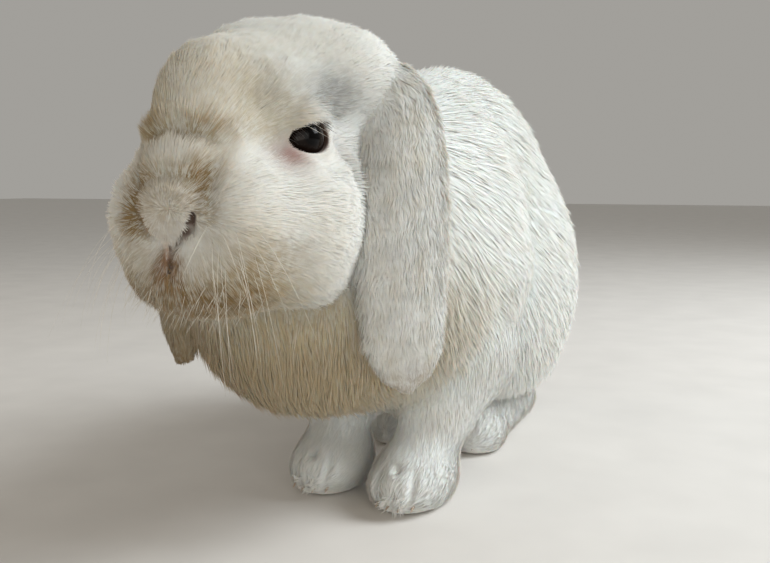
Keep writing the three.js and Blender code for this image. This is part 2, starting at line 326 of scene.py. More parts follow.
@dataclass(frozen=True)
class RabbitForm:
    """Every form of the flesh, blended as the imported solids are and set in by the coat's depth."""

    depths: Depths = Depths()
    eye: EyeShape = EyeShape()
    head_place: tuple[float, float, float] = (-19.5, -67.0, 146.6)
    head_turn: float = -1.0
    ears: tuple[EarShape, EarShape] = (EarShape(1.0), EarShape(-1.0, swing=(15.0, 11.0)))
    skull: Blend = Blend(9.0, (
        Oval((0, 22, 4), (32, 40, 34)),
        *both_sides(lambda s: Oval((s * 21, 37, 19), (20, 24, 20))),
        *both_sides(lambda s: Oval((s * 9, 30, 17), (18, 24, 24))),
        Oval((0, -8, 7.5), (19, 23, 22.5), (22, 0, 0)),
        Oval((0, -20, -8), (18, 17, 16)),
        Oval((0, -31, -20), (9, 9, 10)),
        *both_sides(lambda s: Oval((s * 21, 4, -26), (19, 25, 27))),
        *both_sides(lambda s: Oval((s * 15, -21, -26), (14, 15, 18))),
        Oval((0, -14, -41), (25, 24, 14)),
    ))
    trunk: Blend = Blend(26.0, (
        Oval((-7.5, 110, 104), (52.5, 94, 84), (2.5, 0, -4)),
        Oval((-25, -8, 91), (48, 46, 50)),
        Oval((-8, 34, 90), (52, 50, 54)),
        Limb((-19.5, -37, 128.6), (-8, 50, 118), 34, 50),
        *both_sides(lambda s: Oval((-9 + s * 31, 140, 76), (32, 56, 53))),
    ))
    forelegs: tuple[Blend, ...] = both_sides(lambda s: Blend(10.0, (
        Oval((-9 + s * 20.5, 22 - s * 4, 9), (18, 25, 15), (0, 0, -s * 4)),
        Limb((-9 + s * 20.5, 28 - s * 4, 16), (-6 + s * 29, 55 - s * 4, 58), 13, 21),
        Limb((-6 + s * 29, 55 - s * 4, 58), (-8 + s * 32, 56, 92), 21, 25),
    )))
    hind_feet: tuple[Blend, ...] = both_sides(lambda s: Blend(8.0, (
        Limb((-6 + s * 21, 166, 12), (-6 + s * 21, 98, 9), 15, 13),
        Oval((-6 + s * 21, 100, 8), (13.5, 17, 12)),
        Limb((-6 + s * 21, 152, 14), (-9 + s * 30, 142, 56), 9, 19),
    )))
    toe_gaps: tuple[Limb, ...] = tuple(
        Limb((-9 + s * 20.5 + 8.2 * k, -4.5 - s * 4 + 1.6 * abs(k), 1.0),
             (-9 + s * 20.5 + 7.2 * k, 7.0 - s * 4, 19.0), 1.3, 0.8)
        for s in SIDES.values() for k in (-1, 0, 1))
    tail: Oval = Oval((-2, 203, 72), (14, 14, 26), (-24, 0, 0))
    nose_wing: Oval = Oval((5.0, -32.6, -23.0), (5.2, 5.0, 6.4), (0, 0, 20))
    nostril: Limb = Limb((8.1, -36.8, -24.4), (7.2, -36.2, -27.8), 1.35, 1.3)
    nostril_tail: Limb = Limb((7.2, -36.2, -27.8), (0.4, -36.0, -33.6), 1.3, 1.2)
    cleft: Limb = Limb((0.3, -36.0, -33.4), (0.8, -34.9, -41.5), 1.2, 1.3)
    furrow: Limb = Limb((0.0, -34.7, 0.4), (14.0, -29.9, -4.0), 1.9, 1.4)
    crease: Limb = Limb((13.2, -32.6, -7.0), (11.2, -36.6, -19.5), 1.2, 1.6)
    nose_top: Limb = Limb((0.0, -39.2, -12.8), (6.8, -37.9, -14.6), 1.0, 0.9)
    far_pinch: float = 1.2
    lip: Limb = Limb((0.0, -35.6, -41.0), (9.0, -30.2, -45.0), 1.0, 0.6)

    def to_head(self, points: Array) -> Array:
        """Moves points from the plan frame to the head's own axes."""
        return (points - np.array(self.head_place)) @ turn_matrix((0, 0, self.head_turn))

    def from_head(self, points: Array) -> Array:
        """Moves points from the head's own axes to the plan frame."""
        return points @ turn_matrix((0, 0, self.head_turn)).T + np.array(self.head_place)

    def head_depth(self, at: Array) -> Array:
        """Gives the coat's depth over the head: shallow on the nose and round the eyes."""
        nose = np.linalg.norm(at - (0.0, -38.0, -24.0), axis=1)
        depth = self.depths.head - 0.6 * np.exp(-((nose / 13.0) ** 2))
        for side in SIDES.values():
            eye = np.linalg.norm(at - np.array(self.eye.centre) * (side, 1, 1), axis=1)
            depth = depth - 0.4 * np.exp(-((eye / 13.0) ** 2))
        return depth

    def face_work(self, base: Array, at: Array) -> Array:
        """Works the sockets, lids, nose, mouth and whisker pads into the head.

        Args:
            base: Distances from the plain head.
            at: The same points in the head's axes.

        Returns:
            The distances with the face worked in.
        """
        eye = self.eye
        for side in SIDES.values():
            mirrored = at * (side, 1.0, 1.0)
            base = hollowed(base, Oval((35, eye.centre[1] - 1, eye.centre[2]), (7, 12, 10)).distance(mirrored), 7.0)
            ball = np.linalg.norm(at - np.array(eye.centre) * (side, 1, 1), axis=1) - eye.radius - eye.lid
            base = fillet(base, ball, 4.5)
            out, ahead, up = eye.local(at, side)
            brow = np.hypot(np.hypot((ahead + 1.0) / 1.9, up - 7.6), out - 6.0) - 1.0
            base = fillet(base, brow, 5.0)
            base = hollowed(base, eye.opening(at, side), 1.6)
            fold = Limb((30.8, 10.5, -2.0), (36.8, 13.5, -17.0), 0.7, 2.0).distance(mirrored)
            base = hollowed(base, fold, 3.0)
            base = fillet(base, self.nose_wing.distance(mirrored), 3.0)
            pinch = self.far_pinch * (side < 0)
            for crease in (self.furrow, self.crease, self.nose_top):
                base = hollowed(base, crease.distance(mirrored), 4.0)
            for slit in (self.nostril, self.nostril_tail, self.lip):
                base = hollowed(base, slit.distance(mirrored) + pinch, 0.9)
        return hollowed(base, self.cleft.distance(at), 1.2)

    def parts(self, points: Array) -> dict[str, Array]:
        """Gives each part's own distance, already set in by its coat's depth.

        Args:
            points: Places in the plan frame, in millimetres.

        Returns:
            Distances by part name.
        """
        at = self.to_head(points)
        far = np.full(len(points), 120.0)
        near = ((at > (-70, -62, -62)) & (at < (70, 100, 60))).all(axis=1)
        head = far.copy()
        if near.any():
            close = at[near]
            plain = self.skull.distance(close) + self.head_depth(close)
            head[near] = self.face_work(plain, close)
        low = points[:, 2] < 120
        legs = far.copy()
        feet = far.copy()
        if low.any():
            legs[low] = np.minimum(*[form.distance(points[low]) for form in self.forelegs]) + self.depths.leg
            feet[low] = np.minimum(*[form.distance(points[low]) for form in self.hind_feet]) + self.depths.foot
            for gap in self.toe_gaps:
                legs[low] = hollowed(legs[low], gap.distance(points[low]), 3.0)
        return {
            "head": head,
            "trunk": self.trunk.distance(points) + self.depths.trunk,
            "forelegs": legs,
            "hind_feet": feet,
            "tail": self.tail.distance(points) + self.depths.tail,
            "ear_left": self.ears[0].distance(at, self.depths.ear),
            "ear_right": self.ears[1].distance(at, self.depths.ear),
        }

    def distance(self, points: Array) -> Array:
        """Gives the distance of each point from the whole skin."""
        part = self.parts(points)
        total = fillet(part["trunk"], part["head"], 14.0)
        total = fillet(total, part["hind_feet"], 10.0)
        total = fillet(total, part["forelegs"], 12.0)
        total = fillet(total, part["tail"], 6.0)
        total = fillet(total, part["ear_left"], 1.8)
        total = fillet(total, part["ear_right"], 1.8)
        return np.maximum(total, SOLE - points[:, 2])


SOLE = 0.8  # the skin's soles lie this far above the floor
FLOOR_GAP = 0.15  # no hair comes nearer to the floor than this


# ------------------------------------------------------------------ the skin
@dataclass
class Skin:
    """The one skin of the rabbit, with everything that the coat reads from it."""

    form: RabbitForm
    shift: Array
    coarse: float = 5.52
    split: int = 3
    low: tuple[float, float, float] = (-92.0, -122.0, -4.0)
    high: tuple[float, float, float] = (84.0, 232.0, 200.0)
    points: Array = field(default_factory=lambda: np.empty((0, 3)))

    def field_grid(self) -> tuple[Array, float]:
        """Samples the form's distance, finely near its surface only.

        Returns:
            The grid of distances and its spacing.
        """
        low, high = np.array(self.low), np.array(self.high)
        count = np.ceil((high - low) / self.coarse).astype(int)
        step = self.coarse / self.split
        cells = np.stack(np.meshgrid(*[np.arange(n) for n in count], indexing="ij"), -1).reshape(-1, 3)
        centre = low + (cells + 0.5) * self.coarse - step / 2
        rough = self.form.distance(centre)
        block = np.broadcast_to(np.clip(rough, -9.0, 9.0).reshape(*count, 1, 1, 1), (*count, *[self.split] * 3))
        grid = block.copy()
        close = np.flatnonzero(np.abs(rough) < self.coarse * 1.15)
        inner = np.stack(np.meshgrid(*[np.arange(self.split)] * 3, indexing="ij"), -1).reshape(-1, 3)
        places = low + cells[close][:, None, :] * self.coarse + inner * step
        values = self.form.distance(places.reshape(-1, 3)).reshape(len(close), *[self.split] * 3)
        grid.reshape(-1, *[self.split] * 3)[close] = values
        whole = grid.transpose(0, 3, 1, 4, 2, 5).reshape(*(count * self.split))
        return whole.astype(np.float32), step

    def settle(self, points: Array, passes: int = 4, reach: float = 0.9) -> Array:
        """Moves points onto the form's surface along its gradient."""
        probe = 0.12
        for _ in range(passes):
            value = self.form.distance(points)
            slope = np.stack([(self.form.distance(points + probe * axis) - value) / probe
                              for axis in np.eye(3)], 1)
            shift = np.clip(value / np.maximum((slope**2).sum(1), 0.3), -reach, reach)
            points = points - slope * shift[:, None]
        return points

    def build(self) -> bpy.types.Object:
        """Meshes the skin, refines the face and sets every point on the form.

        Returns:
            The skin's object.
        """
        grid, step = self.field_grid()
        volume = openvdb.FloatGrid(9.0)
        volume.copyFromArray(grid)
        points, quads = volume.convertToQuads(0.0)
        mesh = bpy.data.meshes.new("skin")
        mesh.from_pydata((points * step + np.array(self.low)).tolist(), [], quads[:, ::-1].tolist())
        self.refine(mesh, self.is_face)
        self.refine(mesh, self.is_feature)
        places = np.empty(len(mesh.vertices) * 3)
        mesh.vertices.foreach_get("co", places)
        self.points = self.settle(places.reshape(-1, 3))
        mesh.vertices.foreach_set("co", ((self.points + self.shift) * MM).ravel())
        mesh.update()
        skin = bpy.data.objects.new("skin", mesh)
        bpy.context.scene.collection.objects.link(skin)
        self.keep_outside(skin)
        mesh.shade_smooth()
        return skin

    def keep_outside(self, skin: bpy.types.Object) -> None:
        """Keeps the largest closed shell only, with its faces outwards and in triangles."""
        work = bmesh.new()
        work.from_mesh(skin.data)
        work.verts.ensure_lookup_table()
        shell = np.full(len(work.verts), -1)
        sizes = []
        for seed in work.verts:
            if shell[seed.index] >= 0:
                continue
            stack, size = [seed], 0
            shell[seed.index] = len(sizes)
            while stack:
                vert = stack.pop()
                size += 1
                for edge in vert.link_edges:
                    other = edge.other_vert(vert)
                    if shell[other.index] < 0:
                        shell[other.index] = len(sizes)
                        stack.append(other)
            sizes.append(size)
        keep = int(np.argmax(sizes))
        bmesh.ops.delete(work, geom=[v for v in work.verts if shell[v.index] != keep], context="VERTS")
        bmesh.ops.triangulate(work, faces=work.faces)
        bmesh.ops.recalc_face_normals(work, faces=work.faces)
        work.to_mesh(skin.data)
        work.free()
        places = np.empty(len(skin.data.vertices) * 3)
        skin.data.vertices.foreach_get("co", places)
        self.points = places.reshape(-1, 3) / MM - self.shift
        LOG.info("skin shells %s, triangles %d", sizes[:6], len(skin.data.polygons))

    def is_face(self, points: Array) -> Array:
        """Tells which points are on the front of the head."""
        at = self.form.to_head(points)
        return (at[:, 1] < 16) & (at[:, 2] > -62) & (at[:, 2] < 34) & (np.abs(at[:, 0]) < 45)

    def is_feature(self, points: Array) -> Array:
        """Tells which points are round the eyes, nose and mouth."""
        at = self.form.to_head(points)
        nose = np.linalg.norm((at - (0.0, -38.0, -31.0)) / (1.0, 1.0, 1.25), axis=1) < 14.0
        eyes = np.linalg.norm(np.abs(at) * (1, 0, 0) + at * (0, 1, 1)
                              - np.array(self.form.eye.centre), axis=1) < 13.5
        return nose | eyes

    def refine(self, mesh: bpy.types.Mesh, wanted) -> None:
        """Halves the edges of the faces whose points are wanted."""
        work = bmesh.new()
        work.from_mesh(mesh)
        places = np.array([v.co for v in work.verts])
        chosen = wanted(places)
        edges = [e for e in work.edges if chosen[e.verts[0].index] and chosen[e.verts[1].index]]
        bmesh.ops.subdivide_edges(work, edges=edges, cuts=1, use_grid_fill=True)
        work.to_mesh(mesh)
        work.free()


# ------------------------------------------------------------------ what the coat reads from the skin
@dataclass(frozen=True)
class Pelt:
    """The coat of one part: its locks' size in millimetres, their rise in degrees and their number."""

    length: float
    breadth: float
    rise: float
    crowd: float


PELTS: dict[str, Pelt] = {
    "head": Pelt(5.4, 0.32, 11.0, 8.2),
    "trunk": Pelt(12.6, 0.60, 5.5, 1.44),
    "forelegs": Pelt(4.9, 0.38, 10.0, 2.5),
    "hind_feet": Pelt(4.8, 0.42, 10.0, 1.9),
    "tail": Pelt(12.0, 0.70, 22.0, 2.6),
    "ear_left": Pelt(4.5, 0.34, 15.0, 3.9),
    "ear_right": Pelt(4.8, 0.40, 14.0, 2.7),
}


class Patch(IntEnum):
    """The pieces that the coat is divided into, each over its own part of the skin."""

    FACE_LEFT = 0
    FACE_RIGHT = 1
    CROWN_LEFT = 2
    CROWN_RIGHT = 3
    EAR_LEFT = 4
    EAR_RIGHT = 5
    FORE_LEFT = 6
    FORE_RIGHT = 7
    REAR_LEFT = 8
    REAR_RIGHT = 9
    FORELEGS = 10
    HIND_FEET = 11
    TAIL = 12


@dataclass(frozen=True)
class Mark:
    """One marking or patch of painted shade: a soft oval of a tint in the head's axes, on one side or on both
    alike.
    """

    tint: str
    centre: tuple[float, float, float]
    radii: tuple[float, float, float]
    strength: float
    side: float = 0.0

    def at(self, points: Array) -> Array:
        """Gives the marking's strength at points in the head's axes."""
        folded = points * (self.side, 1, 1) if self.side else points * (0, 1, 1) + np.abs(points) * (1, 0, 0)
        return self.strength * np.exp(-((folded - self.centre) ** 2 / np.array(self.radii) ** 2).sum(1))


MARKS: tuple[Mark, ...] = (
    Mark("grey", (29.5, 11, 12.5), (8.5, 9, 7.5), 0.78),  # above and behind the eye
    Mark("grey", (34, 19, 7), (6, 7, 7), 0.30),
    Mark("grey", (28, 4, 11), (7, 9, 6), 0.42),  # brow
    Mark("beige", (15, 5, 28), (30, 34, 16), 0.26),  # crown
    Mark("grey", (26, 4, 24), (16, 18, 14), 0.20),
    Mark("grey", (16, -12, 18), (14, 12, 12), 0.20),
    Mark("grey", (20, -14, 8), (9, 9, 9), 0.38),
    Mark("tan", (20, -14, 8), (10, 10, 9), 0.12),
    Mark("grey", (38, 36, 22), (12, 12, 10), 0.14),  # where the ear rises
    Mark("grey", (43, 29, 9), (7, 8, 9), 0.16),  # the ear's root
    Mark("grey", (40, 24, -6), (4, 6, 10), 0.30),
    Mark("beige", (6, -22, 14), (26, 22, 22), 0.50),  # forehead
    Mark("beige", (19, -15, 7), (12, 12, 12), 0.60),  # between brow and bridge
    Mark("tan", (7, -32.5, -0.5), (10, 6, 3.4), 0.50),  # furrow under the forehead: partly the coat's own brown, partly painted shade under the brow
    Mark("tan", (14, -22, -3), (7, 7, 4), 0.26),
    Mark("beige", (6, -34, -4), (12, 8, 9), 0.38),  # bridge
    Mark("white", (6, -36, -6.8), (7, 5, 3.6), 0.45),
    Mark("beige", (9, -36, -12), (9, 8, 9), 0.32),
    Mark("tan", (9, -36, -12), (7, 7, 8), 0.12),
    Mark("tan", (10, -36, -25), (5, 6, 8), 0.60, -1.0),  # the right side of the nose: painted shade, on the side away from the light
    # painted shade on the right side by the furrow, away from the light
    Mark("beige", (11, -31, 3), (8, 8, 9), 0.45, -1.0),
    Mark("tan", (11, -31, 1), (6, 6, 7), 0.22, -1.0),
    Mark("tan", (10.0, -36.0, -14.5), (4.6, 5, 7), 0.74),  # down the side of the bridge
    Mark("tan", (3, -38.5, -13.2), (6, 4, 2.0), 0.34),
    Mark("tan", (12, -36.5, -24), (4, 5, 5), 0.38),  # outside the nostril
    Mark("beige", (0, -39, -20), (7, 6, 8), 0.40),  # nose
    Mark("grey", (1, -39.5, -19), (5, 5, 6), 0.12),
    Mark("tan", (0, -39, -21), (8, 6, 8), 0.20),
    Mark("tan", (1.5, -36.8, -38), (3, 4, 6), 0.75),  # cleft
    Mark("pink", (1.5, -37, -37), (2.2, 4, 5), 0.35),
    Mark("tan", (12, -30, -47), (14, 12, 8), 0.32),  # jaw: painted warm shade under the jaw
    Mark("tan", (22, -27, -43), (10, 10, 8), 0.22),
    Mark("beige", (20, -31, -36), (13, 12, 14), 0.45),  # whisker pads
    Mark("tan", (23, -29, -36), (8, 8, 7), 0.20),
    Mark("tan", (29, -20, -35), (6, 7, 5), 0.20),
    Mark("beige", (10, -18, -48), (28, 24, 13), 0.85),  # chin and jaw: painted warm shade on the underside
    Mark("tan", (0, -30, -47), (22, 12, 7), 0.68),
    Mark("earth", (0, -22, -48), (26, 20, 8), 0.30),
    # painted shade on the right side of the nose
    Mark("earth", (10, -36, -24), (5, 6, 8), 0.22, -1.0),
    Mark("white", (33, -8, -16), (13, 16, 12), 0.62),  # cheek
    Mark("beige", (33, -8, -16), (16, 20, 16), 0.36),
    Mark("white", (18, -23, -9), (7, 8, 6), 0.50),
    Mark("pink", (25.4, -12.2, -7.3), (5.4, 5.8, 4.6), 0.95),  # front corner of the eye
    Mark("pink", (32.5, 11, -4), (3, 3, 6), 0.25),  # fold behind the eye
    # painted shade in the crease between the cheek and the ear
    Mark("grey", (35, 13, -9), (3.5, 4, 9), 0.60),
)
# the tint after tan is only painted warm shade, laid in the tan colour
TINTS = ("grey", "beige", "tan", "earth", "pink", "dark")


@dataclass
class CoatMap:
    """Works out, for every point of the skin, the lie, size, number and tint of its locks."""

    form: RabbitForm
    points: Array
    normals: Array

    def __post_init__(self) -> None:
        """Works out what every trait needs."""
        self.at = self.form.to_head(self.points)
        parts = self.form.parts(self.points)
        self.names = list(parts)
        gaps = np.stack([parts[name] for name in self.names], 1)
        gaps[:, 1] -= 1.0
        share = np.exp(-(gaps - gaps.min(axis=1, keepdims=True)) / 2.5)
        self.share = dict(zip(self.names, (share / share.sum(axis=1, keepdims=True)).T))
        self.nose_gap = np.linalg.norm(self.at - (0.0, -38.0, -25.0), axis=1)
        folded = np.abs(self.at) * (1, 0, 0) + self.at * (0, 1, 1)
        self.eye_local = self.form.eye.local(folded, 1.0)
        self.eye_gap = self.form.eye.opening(folded, 1.0)
        self.folded = folded

    def blend(self, trait: str) -> Array:
        """Gives a trait of the pelts, blended from part to part."""
        return sum(self.share[name] * getattr(PELTS[name], trait) for name in self.names)

    def near_eye(self, reach: float) -> Array:
        """Gives 1 at the lids, falling to 0 within a reach."""
        out, _, _ = self.eye_local
        return np.exp(-np.maximum(self.eye_gap, 0.0) / reach) * (out > 2.0) * self.share["head"]

    def near_nose(self, reach: float) -> Array:
        """Gives 1 at the nose, falling to 0 over a reach."""
        return np.exp(-((self.nose_gap / reach) ** 2)) * self.share["head"]

    def openings(self) -> Array:
        """Gives how far each point is outside the nostrils, mouth and eyes."""
        form = self.form
        gap = np.minimum(form.nostril.distance(self.folded), form.nostril_tail.distance(self.folded))
        gap = np.minimum(gap, form.cleft.distance(self.folded) + 0.1)
        out, _, _ = self.eye_local
        return np.minimum(gap, np.where(out > 2.0, self.eye_gap, 9.0))

    def lie(self) -> Array:
        """Gives the way that the coat lies, along the skin."""
        points, normals, at = self.points, self.normals, self.at
        head = unit(at - (0.0, -50.0, -27.0)) @ turn_matrix((0, 0, self.form.head_turn)).T
        head = head + np.stack([0 * at[:, 0], 0 * at[:, 0], -0.35 * smooth(-5, -40, at[:, 2])], 1)
        flank = np.abs(normals[:, 0])
        front = smooth(-0.2, -0.8, normals[:, 1])
        hem = smooth(62, 30, points[:, 2])
        trunk = np.stack([0 * flank, 1.0 - 0.9 * front, -0.25 - 0.55 * flank - 0.9 * (front + hem)], 1)
        shin = smooth(18, 34, points[:, 2])
        legs = np.stack([0 * shin, -1.0 + 0.9 * shin, -0.25 - 0.75 * shin], 1)
        ways = {
            "head": head,
            "trunk": trunk,
            "forelegs": legs,
            "hind_feet": np.tile((0.0, -1.0, -0.15), (len(points), 1)),
            "tail": np.tile((0.0, 0.45, 0.9), (len(points), 1)),
        }
        for ear, name in zip(self.form.ears, ("ear_left", "ear_right")):
            at_ear = ear.local(at)
            ways[name] = at_ear["down"]
        total = sum(self.share[name][:, None] * unit(ways[name]) for name in self.names)
        over_eye = self.near_eye(6.0) * smooth(2.0, 6.0, self.eye_local[2])
        total += over_eye[:, None] * np.array([0.0, 0.4, -1.2])
        ear = (self.share["ear_left"] + self.share["ear_right"])[:, None]
        total += Ripple(13.0, 1).vectors_at(points) * (0.12 + 0.10 * ear)
        total += Ripple(4.2, 2).vectors_at(points) * (0.10 + 0.14 * ear)
        total -= normals * (total * normals).sum(axis=1, keepdims=True)
        return unit(total)

    def traits(self) -> dict[str, Array]:
        """Gives the size, rise and crowding of the locks.

        Returns:
            Values by attribute name, with lengths in metres and crowding per square metre.
        """
        ripple = Ripple(6.0, 3).at(self.points)
        length = self.blend("length") * (1.0 + 0.14 * ripple)
        length *= 1.0 - 0.36 * self.near_nose(12.0) - 0.22 * self.near_nose(26.0)
        length *= 1.0 - 0.80 * self.near_eye(4.0) * smooth(5.5, 2.0, self.eye_local[2])
        length *= 1.0 - 0.60 * np.exp(-np.maximum(self.openings(), 0.0) / 1.0)
        for ear, name in zip(self.form.ears, ("ear_left", "ear_right")):
            length *= 1.0 - 0.66 * self.share[name] * smooth(0.84, 0.99, ear.local(self.at)["share"])
        breadth = self.blend("breadth") * (1.0 + 0.45 * self.near_nose(13.0) - 0.30 * self.near_eye(5.0))
        rise = self.blend("rise") + 2.0 * Ripple(4.5, 4).at(self.points)
        rise += 10.0 * self.share["trunk"] * smooth(62, 34, self.points[:, 2])
        rise += 22.0 * self.near_nose(13.0)
        rise += 11.0 * self.near_eye(7.0) * smooth(2.0, 6.0, self.eye_local[2])
        fringe = self.share["head"] * smooth(-38.0, -50.0, self.at[:, 2])
        rise += 12.0 * fringe
        length *= 1.0 + 0.35 * fringe
        for ear, name in zip(self.form.ears, ("ear_left", "ear_right")):
            aside = np.abs(ear.local(self.at)["across"]) / ear.half_width
            rise += 13.0 * self.share[name] * smooth(0.50, 0.85, aside)
        behind = smooth(0.0, 20.0, self.at[:, 1]) * self.share["head"]
        crowd = self.blend("crowd") * (1.0 - 0.48 * behind) * (1.0 + 0.5 * self.near_nose(14.0) + 0.5 * self.near_eye(5.0))
        pink = self.tint_values()["pink"]
        crowd *= (1.0 - 0.45 * pink) * smooth(0.1, 0.7, self.openings())
        sole = smooth(0.5, 2.5, self.points[:, 2] - SOLE)
        return {
            "length": length * MM * (0.35 + 0.65 * sole),
            "breadth": breadth * MM,
            "rise": np.radians(np.clip(rise, 4.0, 50.0)),
            "crowd": crowd / MM**2 * (0.1 + 0.9 * sole),
        }

    def tint_values(self) -> dict[str, Array]:
        """Gives the strength of each tint."""
        values = {tint: np.zeros(len(self.points)) for tint in TINTS}
        white = np.zeros(len(self.points))
        for mark in MARKS:
            strength = mark.at(self.at) * (1.0 - 0.5 * self.share["trunk"])
            if mark.tint == "white":
                white += strength
            else:
                values[mark.tint] += strength
        for tint in ("beige", "grey", "tan"):
            values[tint] *= 1.0 - np.clip(white, 0.0, 1.0)
        for ear, name in zip(self.form.ears, ("ear_left", "ear_right")):
            share = ear.local(self.at)["share"]
            blotch = Ripple(14.0, 5).at(self.points) * 0.12 + Ripple(5.0, 6).at(self.points) * 0.12
            values["grey"] += self.share[name] * np.clip(0.04 - 0.06 * share + blotch, 0.0, 1.0)
            values["beige"] += self.share[name] * np.clip(0.08 + 0.12 * Ripple(9.0, 7).at(self.points), 0.0, 1.0)
            values["tan"] += self.share[name] * (0.02 + 0.36 * smooth(0.88, 1.0, share))
        # painted shade on the lower half of the right ear: beige, tan and warm shade
        shaded = self.share["ear_right"] * smooth(0.45, 0.75, self.form.ears[1].local(self.at)["share"])
        values["beige"] += 0.80 * shaded
        values["tan"] += 0.35 * shaded
        # painted warm shade low on the chest, in beige and the warm shade tint
        low = smooth(122.0, 72.0, self.points[:, 2]) * smooth(44.0, -34.0, self.points[:, 1])
        values["beige"] += self.share["trunk"] * low * 0.95
        values["earth"] += self.share["trunk"] * low * 0.52 + 0.30 * shaded
        values["beige"] += 0.05 + 0.05 * Ripple(30.0, 8).at(self.points)
        openings = self.openings()
        shown = np.where(self.at[:, 0] < -1.0, 0.12, 1.0)
        shown = shown * (1.0 - 0.55 * smooth(-33.5, -35.5, self.at[:, 2]))
        # dark: the lids' own dark rims, and painted shade in the nostril slits and the cleft
        values["dark"] = smooth(0.7, -0.1, openings) * np.where(self.nose_gap < 25.0, shown, 1.0)
        return {tint: np.clip(value, 0.0, 1.0) for tint, value in values.items()}

    def patches(self, centres: Array, part: Array) -> Array:
        """Names the coat piece that each face of the skin belongs to.

        Args:
            centres: The faces' centres in the plan frame.
            part: The index of the part that each face is nearest to.

        Returns:
            A patch number for each face.
        """
        at = self.form.to_head(centres)
        middle = np.where(centres[:, 1] < 0, -25.0, -8.0)
        left = centres[:, 0] > middle
        head_left = at[:, 0] > 0
        name = np.array(self.names)[part]
        face = at[:, 1] < 0
        patch = np.where(head_left, np.where(face, Patch.FACE_LEFT, Patch.CROWN_LEFT),
                         np.where(face, Patch.FACE_RIGHT, Patch.CROWN_RIGHT))
        fore = centres[:, 1] < 62
        body = np.where(left, np.where(fore, Patch.FORE_LEFT, Patch.REAR_LEFT),
                        np.where(fore, Patch.FORE_RIGHT, Patch.REAR_RIGHT))
        patch = np.where(name == "trunk", body, patch)
        patch = np.where(name == "forelegs", Patch.FORELEGS, patch)
        patch = np.where(name == "hind_feet", Patch.HIND_FEET, patch)
        patch = np.where(name == "tail", Patch.TAIL, patch)
        patch = np.where(name == "ear_left", Patch.EAR_LEFT, patch)
        return np.where(name == "ear_right", Patch.EAR_RIGHT, patch)


def store(mesh: bpy.types.Mesh, name: str, values: Array, domain: str = "POINT") -> None:
    """Stores an attribute on a mesh: a vector, a whole number or a number for each element."""
    vector = values.ndim == 2
    whole = values.dtype.kind == "i"
    kind = "FLOAT_VECTOR" if vector else "INT" if whole else "FLOAT"
    attribute = mesh.attributes.new(name, kind, domain)
    flat = np.ascontiguousarray(values, np.int32 if whole else np.float32).ravel()
    attribute.data.foreach_set("vector" if vector else "value", flat)


def read(mesh: bpy.types.Mesh, collection: str, prop: str, width: int) -> Array:
    """Reads one property of a mesh's elements as rows of numbers."""
    items = getattr(mesh, collection)
    values = np.empty(len(items) * width, np.float32)
    items.foreach_get(prop, values)
    return values.reshape(-1, width).astype(float)


LOCKS_PER_PIECE = 49000  # of four triangles each


def dress_skin(skin: Skin, body: bpy.types.Object) -> None:
    """Unwraps the skin and stores on it all that the coat and its colours read."""
    mesh = body.data
    normals = read(mesh, "vertex_normals", "vector", 3)
    coat = CoatMap(skin.form, skin.points, normals)
    store(mesh, "lie", coat.lie())
    traits = coat.traits()
    tints = coat.tint_values()
    for name, value in tints.items():
        store(mesh, name, value)
    corners = read(mesh, "polygons", "vertices", 3).astype(int)
    areas = read(mesh, "polygons", "area", 1)[:, 0]
    part = np.stack([coat.share[name] for name in coat.names], 1)[corners].mean(axis=1).argmax(axis=1)
    patch = coat.patches(skin.points[corners].mean(axis=1), part)
    locks = traits["crowd"][corners].mean(axis=1) * areas
    counts = {piece.name: int(locks[patch == piece].sum()) for piece in Patch}
    LOG.info("locks wanted %s", counts)
    crowding = {piece: min(1.0, LOCKS_PER_PIECE / max(counts[piece.name], 1)) for piece in Patch}
    thin = np.array([crowding[piece] for piece in Patch])[patch]
    for name in ("length", "breadth", "rise", "crowd"):
        store(mesh, name, traits[name])
    store(mesh, "thin", thin, "FACE")
    store(mesh, "patch", patch.astype(np.int32), "FACE")
    unwrap(body)


def unwrap(body: bpy.types.Object) -> None:
    """Unwraps a piece by its own shape into a map named OFBake."""
    body.data.uv_layers.new(name="OFBake")
    bpy.ops.object.select_all(action="DESELECT")
    body.select_set(True)
    bpy.context.view_layer.objects.active = body
    bpy.ops.object.mode_set(mode="EDIT")
    bpy.ops.mesh.select_all(action="SELECT")
    bpy.ops.uv.smart_project(angle_limit=math.radians(66), island_margin=0.004)
    bpy.ops.object.mode_set(mode="OBJECT")


# ------------------------------------------------------------------ colours
@dataclass(frozen=True)
class CoatFinish:
    """The colours of the coat and skin, as linear red, green and blue."""

    white: tuple[float, float, float] = (0.835, 0.83, 0.80)
    grey: tuple[float, float, float] = (0.31, 0.298, 0.28)
    beige: tuple[float, float, float] = (0.575, 0.485, 0.345)
    # tan is also the colour of the painted warm shade
    tan: tuple[float, float, float] = (0.235, 0.148, 0.060)
    pink: tuple[float, float, float] = (0.37, 0.215, 0.19)
    dark: tuple[float, float, float] = (0.055, 0.028, 0.018)
    roughness: float = 0.82
    sheen: float = 0.12


@dataclass(frozen=True)
class EyeFinish:
    """The colours of an eye: a dark brown iris round a black pupil, under a wet surface."""

    pupil: tuple[float, float, float] = (0.0015, 0.0012, 0.0012)
    iris: tuple[float, float, float] = (0.008, 0.004, 0.0025)
    roughness: float = 0.12
    coat_roughness: float = 0.02


def node(tree: bpy.types.NodeTree, kind: str, **settings) -> bpy.types.Node:
    """Adds a node to a tree and sets its properties."""
    made = tree.nodes.new(kind)
    for name, value in settings.items():
        setattr(made, name, value)
    return made


def link(tree: bpy.types.NodeTree, source, target) -> None:
    """Joins an output to an input, or sets the input to a plain value."""
    if isinstance(source, bpy.types.NodeSocket):
        tree.links.new(source, target)
    else:
        target.default_value = source


